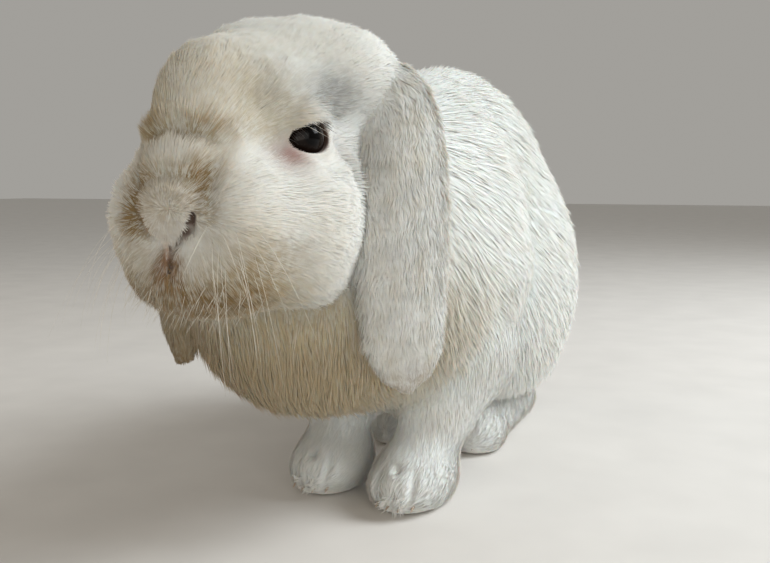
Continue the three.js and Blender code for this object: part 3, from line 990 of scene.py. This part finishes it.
def attribute(tree: bpy.types.NodeTree, name: str) -> bpy.types.NodeSocket:
    """Reads a number that the geometry carries, in a shader."""
    return node(tree, "ShaderNodeAttribute", attribute_type="GEOMETRY", attribute_name=name).outputs["Fac"]


def math_node(tree: bpy.types.NodeTree, operation: str, *values) -> bpy.types.NodeSocket:
    """Works out a sum in a node tree."""
    made = node(tree, "ShaderNodeMath", operation=operation)
    for value, socket in zip(values, made.inputs):
        link(tree, value, socket)
    return made.outputs[0]


def mix_colour(tree: bpy.types.NodeTree, factor, a, b, blend: str = "MIX") -> bpy.types.NodeSocket:
    """Mixes two colours by a factor."""
    made = node(tree, "ShaderNodeMix", data_type="RGBA", blend_type=blend, clamp_factor=True)
    link(tree, factor, made.inputs[0])
    for value, socket in ((a, made.inputs[6]), (b, made.inputs[7])):
        link(tree, (*value, 1.0) if isinstance(value, tuple) else value, socket)
    return made.outputs[2]


def noise(tree: bpy.types.NodeTree, size_mm: float, detail: float = 2.0) -> bpy.types.NodeSocket:
    """Gives noise of a size on the object's own coordinates."""
    place = node(tree, "ShaderNodeTexCoord").outputs["Object"]
    made = node(tree, "ShaderNodeTexNoise")
    link(tree, place, made.inputs["Vector"])
    made.inputs["Scale"].default_value = 1.0 / (size_mm * MM)
    made.inputs["Detail"].default_value = detail
    return made.outputs["Fac"]


def span(tree: bpy.types.NodeTree, value, low: float, high: float, to_low: float, to_high: float):
    """Maps a range of a value to another range, smoothly and within its ends."""
    made = node(tree, "ShaderNodeMapRange", interpolation_type="SMOOTHSTEP", clamp=True)
    for item, socket in zip((value, low, high, to_low, to_high), made.inputs):
        link(tree, item, socket)
    return made.outputs[0]


def markings_group(finish: CoatFinish) -> bpy.types.NodeTree:
    """Builds the group that gives coat and skin the same markings and the same painted shade.

    Args:
        finish: The coat's colours.

    Returns:
        A group with inputs Lock and Tip, and output Color.
    """
    group = bpy.data.node_groups.new("Markings of the coat", "ShaderNodeTree")
    for name, start in (("Lock", 0.5), ("Tip", 0.5)):
        group.interface.new_socket(name, in_out="INPUT", socket_type="NodeSocketFloat").default_value = start
    group.interface.new_socket("Color", in_out="OUTPUT", socket_type="NodeSocketColor")
    inputs = node(group, "NodeGroupInput")
    lock, tip = inputs.outputs["Lock"], inputs.outputs["Tip"]
    fine, broad = noise(group, 3.0), noise(group, 14.0)
    speckle = math_node(group, "ADD", math_node(group, "MULTIPLY", lock, 0.55),
                        math_node(group, "MULTIPLY", fine, 0.9))
    colour = mix_colour(group, span(group, broad, 0.35, 0.65, 0.0, 0.35), finish.white, (0.78, 0.77, 0.735))
    for tint in ("beige", "tan", "grey"):
        low, high = (0.45, 1.55) if tint == "tan" else (0.75, 1.25)
        patchy = span(group, speckle, 0.45, 1.0, low, high)
        share = math_node(group, "MULTIPLY", attribute(group, tint), patchy)
        colour = mix_colour(group, share, colour, getattr(finish, tint))
    # painted warm shade under the chin, on the chest, on the far side of the nose and on the right ear, laid in the
    # tan colour
    colour = mix_colour(group, attribute(group, "earth"), colour, finish.tan)
    colour = mix_colour(group, attribute(group, "pink"), colour, finish.pink)
    shade = math_node(group, "ADD", math_node(group, "MULTIPLY", tip, 0.13),
                      math_node(group, "MULTIPLY", lock, 0.11))
    shade = math_node(group, "ADD", shade, 0.80)
    grey = node(group, "ShaderNodeCombineColor")
    for socket in grey.inputs[:3]:
        link(group, shade, socket)
    colour = mix_colour(group, 1.0, colour, grey.outputs[0], "MULTIPLY")
    colour = mix_colour(group, attribute(group, "dark"), colour, finish.dark)
    link(group, colour, node(group, "NodeGroupOutput").inputs["Color"])
    return group


class Finishes:
    """Builds each material once."""

    def __init__(self, coat: CoatFinish, eye: EyeFinish) -> None:
        """Builds the markings and every material."""
        self.coat_finish = coat
        self.eye_finish = eye
        self.markings = markings_group(coat)
        self.coat = self.furred("coat of locks", True)
        self.skin = self.furred("skin and down", False)
        self.eye = self.wet_eye()
        self.whisker = self.plain("whisker", (0.70, 0.66, 0.58), 0.5, 2.0)
        self.lash = self.plain("lash", (0.02, 0.014, 0.012), 0.5, 2.0)
        self.claw = self.plain("claw horn", (0.42, 0.33, 0.25), 0.35, 1.0)
        self.floor = self.plain("pale floor", (0.74, 0.72, 0.69), 0.7, 40.0)

    def begin(self, name: str) -> tuple[bpy.types.Material, bpy.types.NodeTree, bpy.types.Node]:
        """Starts a material with its Principled shader."""
        material = bpy.data.materials.new(name)
        material.use_nodes = True
        tree = material.node_tree
        return material, tree, tree.nodes["Principled BSDF"]

    def furred(self, name: str, locks: bool) -> bpy.types.Material:
        """Builds the coat's or the skin's material.

        Args:
            name: The material's name.
            locks: Whether the surface is locks, which carry their own shade and tip.

        Returns:
            The material.
        """
        material, tree, shader = self.begin(name)
        group = node(tree, "ShaderNodeGroup", node_tree=self.markings)
        if locks:
            link(tree, attribute(tree, "lock"), group.inputs["Lock"])
            link(tree, attribute(tree, "tip"), group.inputs["Tip"])
        else:
            link(tree, noise(tree, 0.8, 3.0), group.inputs["Lock"])
            link(tree, 0.35, group.inputs["Tip"])
            bump = node(tree, "ShaderNodeBump")
            bump.inputs["Strength"].default_value = 0.35
            bump.inputs["Distance"].default_value = 0.35 * MM
            link(tree, noise(tree, 0.5, 3.0), bump.inputs["Height"])
            link(tree, bump.outputs["Normal"], shader.inputs["Normal"])
        link(tree, group.outputs["Color"], shader.inputs["Base Color"])
        shader.inputs["Roughness"].default_value = self.coat_finish.roughness
        shader.inputs["Specular IOR Level"].default_value = 0.25
        shader.inputs["Sheen Weight"].default_value = self.coat_finish.sheen
        shader.inputs["Sheen Roughness"].default_value = 0.5
        shader.inputs["Subsurface Weight"].default_value = 0.2
        shader.inputs["Subsurface Scale"].default_value = 2.0 * MM
        return material

    def wet_eye(self) -> bpy.types.Material:
        """Builds the eye's material from the share of the way from the pupil's centre."""
        material, tree, shader = self.begin("wet eye")
        ring = attribute(tree, "ring")
        streak = math_node(tree, "MULTIPLY", noise(tree, 0.9, 4.0), 1.6)
        iris = mix_colour(tree, streak, self.eye_finish.iris, (0.006, 0.003, 0.002))
        iris = mix_colour(tree, span(tree, ring, 0.30, 0.42, 0.0, 1.0), self.eye_finish.pupil, iris)
        colour = mix_colour(tree, span(tree, ring, 0.80, 0.95, 0.0, 1.0), iris, (0.010, 0.006, 0.005))
        link(tree, colour, shader.inputs["Base Color"])
        shader.inputs["Roughness"].default_value = self.eye_finish.roughness
        shader.inputs["Specular IOR Level"].default_value = 0.06
        shader.inputs["Coat Weight"].default_value = 0.15
        shader.inputs["Coat IOR"].default_value = 1.34
        shader.inputs["Coat Roughness"].default_value = self.eye_finish.coat_roughness
        return material

    def plain(self, name: str, colour: tuple, roughness: float, grain_mm: float) -> bpy.types.Material:
        """Builds a material of one colour with a faint grain."""
        material, tree, shader = self.begin(name)
        darker = tuple(0.86 * part for part in colour)
        link(tree, mix_colour(tree, noise(tree, grain_mm), darker, colour), shader.inputs["Base Color"])
        shader.inputs["Roughness"].default_value = roughness
        return material


# ------------------------------------------------------------------ the coat
class LockShape:
    """One lock of hair: a closed sliver, widest before its middle, with its tip lying down."""

    WIDEST = 0.38

    def build(self) -> bpy.types.Object:
        """Makes the lock, one long, one wide and one high, growing along +Y.

        Returns:
            An object that is only used to grow the coat.
        """
        mesh = bpy.data.meshes.new("lock")
        places = [(0, 0, 0), (-0.5, self.WIDEST, 1), (0.5, self.WIDEST, 1), (0, 1, 0)]
        mesh.from_pydata(places, [], [(0, 2, 1), (1, 2, 3), (0, 1, 3), (0, 3, 2)])
        store(mesh, "tip", np.array([0.0, 0.5, 0.5, 1.0]))
        store(mesh, "aside", np.array([0.0, -1.0, 1.0, 0.0]))
        store(mesh, "upper", np.array([1.0, 1.0, 0.0, 0.0]), "FACE")
        flat = mesh.attributes.new("flat", "FLOAT_VECTOR", "POINT")
        flat.data.foreach_set("vector", np.array([(0.5, 0, 0), (0, 0.38, 0), (1, 0.38, 0), (0.5, 1, 0)]).ravel())
        return bpy.data.objects.new("lock", mesh)


class CoatTree:
    """The node tree that grows locks over one patch of the skin."""

    INPUTS = (
        ("Geometry", "NodeSocketGeometry"), ("Lock", "NodeSocketObject"), ("Patch", "NodeSocketInt"),
        ("Seed", "NodeSocketInt"), ("Scatter", "NodeSocketFloat"), ("Bulge", "NodeSocketFloat"),
        ("Softness", "NodeSocketFloat"), ("Bake Patch", "NodeSocketFloat"), ("Finish", "NodeSocketMaterial"),
    )

    def __init__(self) -> None:
        """Builds the tree."""
        self.tree = bpy.data.node_groups.new("Coat of locks", "GeometryNodeTree")
        for name, kind in self.INPUTS:
            self.tree.interface.new_socket(name, in_out="INPUT", socket_type=kind)
        self.tree.interface.new_socket("Geometry", in_out="OUTPUT", socket_type="NodeSocketGeometry")
        self.inputs = node(self.tree, "NodeGroupInput").outputs
        self.wire()

    def named(self, name: str, kind: str = "FLOAT") -> bpy.types.NodeSocket:
        """Reads a stored attribute."""
        made = node(self.tree, "GeometryNodeInputNamedAttribute", data_type=kind)
        made.inputs["Name"].default_value = name
        return made.outputs[0]

    def vector(self, operation: str, *values) -> bpy.types.NodeSocket:
        """Works out a vector sum."""
        made = node(self.tree, "ShaderNodeVectorMath", operation=operation)
        if operation == "SCALE":
            link(self.tree, values[0], made.inputs[0])
            link(self.tree, values[1], made.inputs["Scale"])
        else:
            for value, socket in zip(values, made.inputs):
                link(self.tree, value, socket)
        return made.outputs[0]

    def random(self, low, high, seed: int, kind: str = "FLOAT") -> bpy.types.NodeSocket:
        """Draws a number or a vector for each lock."""
        made = node(self.tree, "FunctionNodeRandomValue", data_type=kind)
        first = 0 if kind == "FLOAT_VECTOR" else 2
        made.inputs[first].default_value = low
        made.inputs[first + 1].default_value = high
        made.inputs["Seed"].default_value = seed
        return made.outputs[0 if kind == "FLOAT_VECTOR" else 1]

    def keep(self, geometry, name: str, value, kind: str, domain: str = "POINT") -> bpy.types.NodeSocket:
        """Stores a named attribute."""
        made = node(self.tree, "GeometryNodeStoreNamedAttribute", data_type=kind, domain=domain)
        made.inputs["Name"].default_value = name
        link(self.tree, geometry, made.inputs["Geometry"])
        link(self.tree, value, made.inputs["Value"])
        return made.outputs[0]

    def wire(self) -> None:
        """Joins the nodes from the skin to the finished locks."""
        tree, inputs = self.tree, self.inputs
        other = node(tree, "FunctionNodeCompare", data_type="INT", operation="NOT_EQUAL")
        link(tree, self.named("patch", "INT"), other.inputs[2])
        link(tree, inputs["Patch"], other.inputs[3])
        ground = node(tree, "GeometryNodeDeleteGeometry", domain="FACE")
        link(tree, inputs["Geometry"], ground.inputs["Geometry"])
        link(tree, other.outputs[0], ground.inputs["Selection"])

        roots = node(tree, "GeometryNodeDistributePointsOnFaces", distribute_method="RANDOM")
        link(tree, ground.outputs[0], roots.inputs["Mesh"])
        link(tree, math_node(tree, "MULTIPLY", self.named("crowd"), self.named("thin")), roots.inputs["Density"])
        link(tree, inputs["Seed"], roots.inputs["Seed"])
        lie, rise = self.named("lie", "FLOAT_VECTOR"), self.named("rise")
        stray = self.vector("SCALE", self.random((-1, -1, -1), (1, 1, 1), 1, "FLOAT_VECTOR"), inputs["Scatter"])
        way = self.vector("ADD", self.vector("SCALE", lie, math_node(tree, "COSINE", rise)),
                          self.vector("SCALE", roots.outputs["Normal"], math_node(tree, "SINE", rise)))
        way = self.vector("NORMALIZE", self.vector("ADD", way, stray))
        points = self.keep(roots.outputs["Points"], "upright", roots.outputs["Normal"], "FLOAT_VECTOR")
        points = self.keep(points, "across", self.vector("CROSS_PRODUCT", way, roots.outputs["Normal"]),
                           "FLOAT_VECTOR")
        points = self.keep(points, "lock", self.random(0.0, 1.0, 2), "FLOAT")
        points = self.keep(points, "root", self.named("OFBake", "FLOAT_VECTOR"), "FLOAT_VECTOR")

        turn = node(tree, "FunctionNodeAxesToRotation", primary_axis="Y", secondary_axis="Z")
        link(tree, way, turn.inputs["Primary Axis"])
        link(tree, roots.outputs["Normal"], turn.inputs["Secondary Axis"])
        length = math_node(tree, "MULTIPLY", self.named("length"), self.random(0.62, 1.28, 3))
        breadth = math_node(tree, "MULTIPLY", self.named("breadth"), self.random(0.6, 1.35, 4))
        size = node(tree, "ShaderNodeCombineXYZ")
        for value, socket in zip((breadth, length, math_node(tree, "MULTIPLY", length, inputs["Bulge"])),
                                 size.inputs):
            link(tree, value, socket)
        lock = node(tree, "GeometryNodeObjectInfo", transform_space="ORIGINAL")
        link(tree, inputs["Lock"], lock.inputs["Object"])
        grown = node(tree, "GeometryNodeInstanceOnPoints")
        for value, name in ((points, "Points"), (lock.outputs["Geometry"], "Instance"),
                            (turn.outputs[0], "Rotation"), (size.outputs[0], "Scale")):
            link(tree, value, grown.inputs[name])
        real = node(tree, "GeometryNodeRealizeInstances")
        link(tree, grown.outputs[0], real.inputs["Geometry"])

        corner = self.vector("SUBTRACT", self.named("flat", "FLOAT_VECTOR"), (0.5, 0.5, 0.0))
        bake = self.vector("ADD", self.named("root", "FLOAT_VECTOR"),
                           self.vector("SCALE", corner, inputs["Bake Patch"]))
        geometry = self.keep(real.outputs[0], "OFBake", bake, "FLOAT2", "CORNER")
        geometry = self.soft_normals(geometry)
        for name in ("root", "flat", "across", "upright", "aside", "upper", "lie", "rise", "crowd", "thin",
                     "length", "breadth", "patch"):
            drop = node(tree, "GeometryNodeRemoveAttribute")
            drop.inputs["Name"].default_value = name
            link(tree, geometry, drop.inputs["Geometry"])
            geometry = drop.outputs[0]
        dressed = node(tree, "GeometryNodeSetMaterial")
        link(tree, geometry, dressed.inputs["Geometry"])
        link(tree, inputs["Finish"], dressed.inputs["Material"])
        link(tree, dressed.outputs[0], node(tree, "NodeGroupOutput").inputs["Geometry"])

    def soft_normals(self, geometry) -> bpy.types.NodeSocket:
        """Shades the upper side of each lock as part of the coat's surface."""
        tree = self.tree
        tilt = self.vector("SCALE", self.vector(
            "SCALE", self.named("across", "FLOAT_VECTOR"), self.named("aside")), self.inputs["Softness"])
        soft = self.vector("NORMALIZE", self.vector("ADD", self.named("upright", "FLOAT_VECTOR"), tilt))
        face = node(tree, "GeometryNodeFieldOnDomain", domain="FACE", data_type="FLOAT_VECTOR")
        link(tree, node(tree, "GeometryNodeInputNormal").outputs[0], face.inputs[0])
        pick = node(tree, "ShaderNodeMix", data_type="VECTOR")
        link(tree, self.named("upper"), pick.inputs[0])
        link(tree, face.outputs[0], pick.inputs[4])
        link(tree, soft, pick.inputs[5])
        made = node(tree, "GeometryNodeSetMeshNormal", mode="FREE", domain="CORNER")
        link(tree, geometry, made.inputs["Mesh"])
        link(tree, pick.outputs[1], made.inputs["Custom Normal"])
        return made.outputs[0]

    def grow(self, skin: bpy.types.Object, name: str, values: dict[str, object]) -> bpy.types.Object:
        """Grows one piece of coat.

        Args:
            skin: The skin, with what the coat reads stored on it.
            name: The piece's name.
            values: The tree's inputs by name.

        Returns:
            The piece, as a plain mesh.
        """
        grower = bpy.data.objects.new(name, skin.data)
        bpy.context.scene.collection.objects.link(grower)
        modifier = grower.modifiers.new("coat", "NODES")
        modifier.node_group = self.tree
        for item in self.tree.interface.items_tree:
            if item.in_out == "INPUT" and item.name in values:
                modifier[item.identifier] = values[item.name]
        graph = bpy.context.evaluated_depsgraph_get()
        mesh = bpy.data.meshes.new_from_object(grower.evaluated_get(graph), preserve_all_data_layers=True,
                                               depsgraph=graph)
        bpy.data.objects.remove(grower)
        mesh.name = name
        places = read(mesh, "vertices", "co", 3)
        places[:, 2] = np.maximum(places[:, 2], FLOOR_GAP * MM)
        mesh.vertices.foreach_set("co", places.ravel())
        piece = bpy.data.objects.new(name, mesh)
        bpy.context.scene.collection.objects.link(piece)
        return piece


@dataclass
class Coat:
    """The whole coat, in pieces of fewer than 200,000 triangles each."""

    skin: bpy.types.Object
    finishes: Finishes
    scatter: float = 0.055
    bulge: float = 0.022
    softness: float = 0.08
    bake_patch: float = 0.003

    def build(self) -> list[bpy.types.Object]:
        """Grows every piece.

        Returns:
            The pieces.
        """
        lock, tree, pieces = LockShape().build(), CoatTree(), []
        for patch in Patch:
            pieces.append(tree.grow(self.skin, f"coat_{patch.name.lower()}", {
                "Lock": lock, "Patch": int(patch), "Seed": SEED + int(patch), "Scatter": self.scatter,
                "Bulge": self.bulge, "Softness": self.softness, "Bake Patch": self.bake_patch,
                "Finish": self.finishes.coat,
            }))
            LOG.info("%s: %d triangles", pieces[-1].name, len(pieces[-1].data.polygons))
        bpy.data.objects.remove(lock)
        return pieces


# ------------------------------------------------------------------ eyes
@dataclass(frozen=True)
class Eyeball:
    """One eye: a ball with a cornea that stands out round the gaze."""

    side: float
    shape: EyeShape
    rings: int = 48
    sectors: int = 96
    iris: float = 0.66
    cornea: float = 0.5
    within: float = 0.15

    def build(self, form: RabbitForm, shift: Array, finish: bpy.types.Material) -> bpy.types.Object:
        """Makes the eye, with its poles along the gaze.

        Args:
            form: The rabbit's forms, which place the head.
            shift: From the plan frame to the model's, in millimetres.
            finish: The eye's material.

        Returns:
            The eye's object.
        """
        work = bmesh.new()
        bmesh.ops.create_uvsphere(work, u_segments=self.sectors, v_segments=self.rings, radius=1.0)
        mesh = bpy.data.meshes.new("eye")
        work.to_mesh(mesh)
        work.free()
        unit_ball = read(mesh, "vertices", "co", 3)
        angle = np.arccos(np.clip(unit_ball[:, 2], -1, 1))
        dome = self.cornea * np.cos(np.clip(angle / self.iris, 0, 1) * np.pi / 2) ** 2
        radius = self.shape.radius - self.within - self.cornea * 0.4 + dome
        out, ahead, up = self.shape.axes(self.side)
        local = unit_ball[:, 2:] * out + unit_ball[:, :1] * ahead + unit_ball[:, 1:2] * up
        centre = np.array(self.shape.centre) * (self.side, 1.0, 1.0)
        places = form.from_head(centre + local * radius[:, None]) + shift
        mesh.vertices.foreach_set("co", (places * MM).ravel())
        store(mesh, "ring", angle / (self.iris * 1.6))
        if self.side > 0:
            mesh.flip_normals()
        mesh.update()
        mesh.shade_smooth()
        mesh.materials.append(finish)
        name = "eyeball_left" if self.side > 0 else "eyeball_right"
        eye = bpy.data.objects.new(name, mesh)
        bpy.context.scene.collection.objects.link(eye)
        return eye


# ------------------------------------------------------------------ whiskers, lashes and long hairs
def strands(name: str, paths: list[Array], radii: list[float], finish: bpy.types.Material,
            shift: Array, sides: int = 4) -> bpy.types.Object:
    """Joins tapered closed hairs into one piece.

    Args:
        name: The piece's name.
        paths: Rows of points for each hair, from its root, in the plan frame.
        radii: Each hair's radius at its root, in millimetres.
        finish: The hairs' material.
        shift: From the plan frame to the model's, in millimetres.
        sides: Faces round each hair.

    Returns:
        The piece.
    """
    places, faces = [], []
    for path, radius in zip(paths, radii):
        along = unit(np.gradient(path, axis=0))
        side = unit(np.cross(along, (0.31, 0.22, 0.92)))
        up = np.cross(side, along)
        taper = radius * (1.0 - np.linspace(0.0, 1.0, len(path)) ** 1.6) + 0.015
        start = len(places)
        for point, s, u, r in zip(path, side, up, taper):
            for k in range(sides):
                turn = 2.0 * math.pi * k / sides
                places.append(point + r * (math.cos(turn) * s + math.sin(turn) * u))
        rings = len(path)
        for ring in range(rings - 1):
            for k in range(sides):
                a, b = start + ring * sides + k, start + ring * sides + (k + 1) % sides
                faces.append((a, b, b + sides, a + sides))
        faces.append(tuple(start + k for k in range(sides))[::-1])
        faces.append(tuple(start + (rings - 1) * sides + k for k in range(sides)))
    mesh = bpy.data.meshes.new(name)
    mesh.from_pydata(((np.array(places) + shift) * MM).tolist(), [], faces)
    work = bmesh.new()
    work.from_mesh(mesh)
    bmesh.ops.recalc_face_normals(work, faces=work.faces)
    work.to_mesh(mesh)
    work.free()
    mesh.shade_smooth()
    mesh.materials.append(finish)
    piece = bpy.data.objects.new(name, mesh)
    bpy.context.scene.collection.objects.link(piece)
    return piece


def swept(root: Array, way: Array, length: float, bend: Array, count: int = 9) -> Array:
    """Gives the points of a hair that starts one way and is bent by a steady pull."""
    t = np.linspace(0.0, 1.0, count)[:, None]
    return root + length * (unit(np.asarray(way, float)) * t + np.asarray(bend, float) * t**2)


@dataclass
class LongHairs:
    """Whiskers, brow hairs, lashes and the stray hairs under the chin."""

    form: RabbitForm
    shift: Array
    finishes: Finishes
    wisp_count: int = 130

    def on_skin(self, places: Array) -> Array:
        """Moves points in the head's axes onto the head's skin, in the plan frame."""
        points = self.form.from_head(np.asarray(places, float))
        probe = 0.2
        for _ in range(6):
            value = self.form.distance(points)
            slope = np.stack([(self.form.distance(points + probe * axis) - value) / probe
                              for axis in np.eye(3)], 1)
            points = points - slope * np.clip(value / np.maximum((slope**2).sum(1), 0.3), -2, 2)[:, None]
        return points

    def whiskers(self) -> tuple[list[Array], list[float]]:
        """Gives the rows of whiskers on both pads."""
        draw = np.random.default_rng(SEED + 50)
        paths, radii = [], []
        for side in SIDES.values():
            for row in range(4):
                for column in range(4):
                    root = np.array([side * (13.5 + 2.4 * column), -34.0 + 2.4 * column, -27.0 - 3.6 * row])
                    start = self.on_skin(root[None] + draw.normal(0, 0.6, (1, 3)))[0]
                    way = np.array([side * (0.34 + 0.10 * column), -0.66 + 0.14 * column, -0.50 - 0.16 * row])
                    way += draw.normal(0, 0.12, 3)
                    length = draw.uniform(20.0, 34.0) * (1.0 - 0.05 * row)
                    bend = np.array([-side * 0.10, 0.20, -0.40]) + draw.normal(0, 0.06, 3)
                    paths.append(swept(start, way, length, bend))
                    radii.append(draw.uniform(0.03, 0.055))
        return paths, radii

    def lashes(self) -> tuple[list[Array], list[float]]:
        """Gives the short dark lashes of the upper lids."""
        draw = np.random.default_rng(SEED + 60)
        paths, radii = [], []
        for side in SIDES.values():
            out, ahead, up = self.form.eye.axes(side)
            centre = np.array(self.form.eye.centre) * (side, 1, 1)
            for k in range(46):
                t = -1.0 + 2.0 * k / 45 + draw.normal(0, 0.03)
                arch = math.sqrt(max(0.05, 1 - t * t))
                root = centre + ahead * (8.0 * t + 0.3) + up * (5.4 * arch - 0.3)
                start = self.on_skin((root + out * 7.0)[None])[0]
                way = out * 0.8 - up * draw.uniform(0.2, 0.7) - ahead * draw.uniform(-0.1, 0.5)
                paths.append(swept(start, way, draw.uniform(2.2, 3.8), -0.35 * up - 0.1 * ahead, 6))
                radii.append(draw.uniform(0.06, 0.10))
        return paths, radii

    def brow_hairs(self) -> tuple[list[Array], list[float]]:
        """Gives the long pale hairs that cross the upper part of each eye."""
        draw = np.random.default_rng(SEED + 70)
        paths, radii = [], []
        for side in SIDES.values():
            out, ahead, up = self.form.eye.axes(side)
            centre = np.array(self.form.eye.centre) * (side, 1, 1)
            for k in range(5):
                root = centre + ahead * (5.5 - 2.6 * k) + up * draw.uniform(6.5, 8.5) + out * 6.5
                start = self.on_skin(root[None])[0]
                way = out * 0.50 - ahead * 0.55 - up * draw.uniform(0.6, 0.9)
                paths.append(swept(start, way, draw.uniform(8, 14), -0.10 * up - 0.10 * ahead, 8))
                radii.append(draw.uniform(0.06, 0.09))
        return paths, radii

    def wisps(self) -> tuple[list[Array], list[float]]:
        """Gives the loose pale hairs that hang from the jaw."""
        draw = np.random.default_rng(SEED + 80)
        paths, radii = [], []
        for _ in range(self.wisp_count):
            root = np.array([draw.uniform(-20, 20), draw.uniform(-36, -6), draw.uniform(-52, -42)])
            start = self.on_skin(root[None])[0]
            way = np.array([-0.25, -0.55, -0.80]) + draw.normal(0, 0.18, 3)
            paths.append(swept(start, way, draw.uniform(5.0, 9.5), (-0.12, 0.10, -0.22), 6))
            radii.append(draw.uniform(0.06, 0.11))
        return paths, radii

    def claws(self) -> tuple[list[Array], list[float]]:
        """Gives the short claws that show through the hair of each foot."""
        paths, radii = [], []
        for side in SIDES.values():
            paw = np.array([-9 + side * 20.5, -3 - side * 4, 5.6])
            foot = np.array([-6 + side * 21, 84, 5.0])
            for toe, wide in ((paw, 4.8), (foot, 4.0)):
                for place in (-1.5, -0.5, 0.5, 1.5):
                    root = toe + (place * wide, 5.0 + 0.9 * place * place, 0.0)
                    paths.append(swept(root, (0.04 * place, -1.0, -0.20), 5.6, (0.0, 0.0, -0.14), 7))
                    radii.append(0.95)
        return paths, radii

    def build(self) -> list[bpy.types.Object]:
        """Makes every long hair and the claws.

        Returns:
            The pieces.
        """
        whiskers = strands("whiskers", *self.whiskers(), self.finishes.whisker, self.shift)
        lashes = strands("lashes", *self.lashes(), self.finishes.lash, self.shift, 3)
        brows = strands("brow_hairs", *self.brow_hairs(), self.finishes.whisker, self.shift, 3)
        wisps = strands("wisps", *self.wisps(), self.finishes.whisker, self.shift, 3)
        claws = strands("claws", *self.claws(), self.finishes.claw, self.shift, 8)
        return [whiskers, lashes, brows, wisps, claws]


# ------------------------------------------------------------------ floor, light and camera
@dataclass(frozen=True)
class Lamp:
    """A soft light: a square panel that faces the rabbit."""

    place: tuple[float, float, float]
    size: float
    power: float
    colour: tuple[float, float, float] = (1.0, 1.0, 1.0)
    target: tuple[float, float, float] = (0.0, -0.05, 0.10)


LAMPS: tuple[Lamp, ...] = (
    Lamp((0.85, 0.38, 0.85), 0.7, 15.4, (0.94, 0.98, 1.0)),
    Lamp((0.62, -0.90, 0.26), 0.8, 4.2, (1.0, 0.97, 0.92)),
    Lamp((-0.9, -0.35, 0.40), 0.9, 1.1, (1.0, 0.76, 0.50)),
    Lamp((0.30, -0.75, 0.07), 0.35, 0.55, (1.0, 0.90, 0.74), (0.02, -0.08, 0.02)),
)


@dataclass(frozen=True)
class Studio:
    """A plain pale floor, soft light and the camera."""

    camera_place: tuple[float, float, float] = (136.3, -322.4, 133.0)
    camera_turn: tuple[float, float, float] = (83.5, 0.0, 22.0)
    focal_pixels: float = 900.0
    image_width: int = 770
    sensor_mm: float = 36.0
    floor_size: float = 9.0
    sky: tuple[float, float, float] = (0.95, 0.92, 0.86)
    sky_strength: float = 0.38

    def build(self, shift: Array, finishes: Finishes) -> None:
        """Sets the floor, the lights and the camera."""
        scene = bpy.context.scene
        half = self.floor_size / 2
        mesh = bpy.data.meshes.new("floor")
        mesh.from_pydata([(-half, -half, 0), (half, -half, 0), (half, half, 0), (-half, half, 0)], [],
                         [(0, 1, 2, 3)])
        mesh.materials.append(finishes.floor)
        floor = bpy.data.objects.new("floor", mesh)
        scene.collection.objects.link(floor)
        for number, lamp in enumerate(LAMPS):
            light = bpy.data.lights.new(f"soft light {number}", "AREA")
            light.size, light.energy, light.color = lamp.size, lamp.power, lamp.colour
            holder = bpy.data.objects.new(light.name, light)
            holder.location = lamp.place
            aim = np.array(lamp.place) - np.array(lamp.target)
            flat = math.hypot(aim[0], aim[1])
            holder.rotation_euler = (math.atan2(flat, aim[2]), 0.0, math.atan2(aim[0], -aim[1]))
            scene.collection.objects.link(holder)
        world = bpy.data.worlds.new("studio")
        world.use_nodes = True
        background = world.node_tree.nodes["Background"]
        background.inputs["Color"].default_value = (*self.sky, 1.0)
        background.inputs["Strength"].default_value = self.sky_strength
        scene.world = world
        scene.view_settings.view_transform = "Standard"
        camera = bpy.data.cameras.new("camera")
        camera.sensor_width = self.sensor_mm
        camera.lens = self.sensor_mm * self.focal_pixels / self.image_width
        camera.clip_start = 0.01
        holder = bpy.data.objects.new("camera", camera)
        holder.location = (np.array(self.camera_place) + shift) * MM
        holder.rotation_euler = tuple(math.radians(turn) for turn in self.camera_turn)
        scene.collection.objects.link(holder)
        scene.camera = holder


# ------------------------------------------------------------------ everything in order
FLESH = ("head", "neck", "trunk", "tail", "ear_left", "ear_right", "forepaw_left", "forepaw_right",
         "foreleg_left", "foreleg_right", "hind_foot_left", "hind_foot_right", "thigh_left", "thigh_right")


def main() -> None:
    """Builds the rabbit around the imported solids."""
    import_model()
    form = RabbitForm()
    low, high = (np.array(corner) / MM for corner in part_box("eye_left"))
    shift = (low + high) / 2 - form.from_head(np.array([form.eye.centre]))[0]
    finishes = Finishes(CoatFinish(), EyeFinish())
    Studio().build(shift, finishes)

    skin = Skin(form, shift)
    body = skin.build()
    dress_skin(skin, body)
    body.data.materials.append(finishes.skin)
    coat = Coat(body, finishes).build()
    hairs = LongHairs(form, shift, finishes).build()
    for piece in (body, *coat, *hairs):
        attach(piece, "root")
    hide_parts(*FLESH)
    for name, side in SIDES.items():
        eye = Eyeball(side, form.eye).build(form, shift, finishes.eye)
        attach(eye, "root")
        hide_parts(f"eye_{name}")


if __name__ == "__main__":
    main()
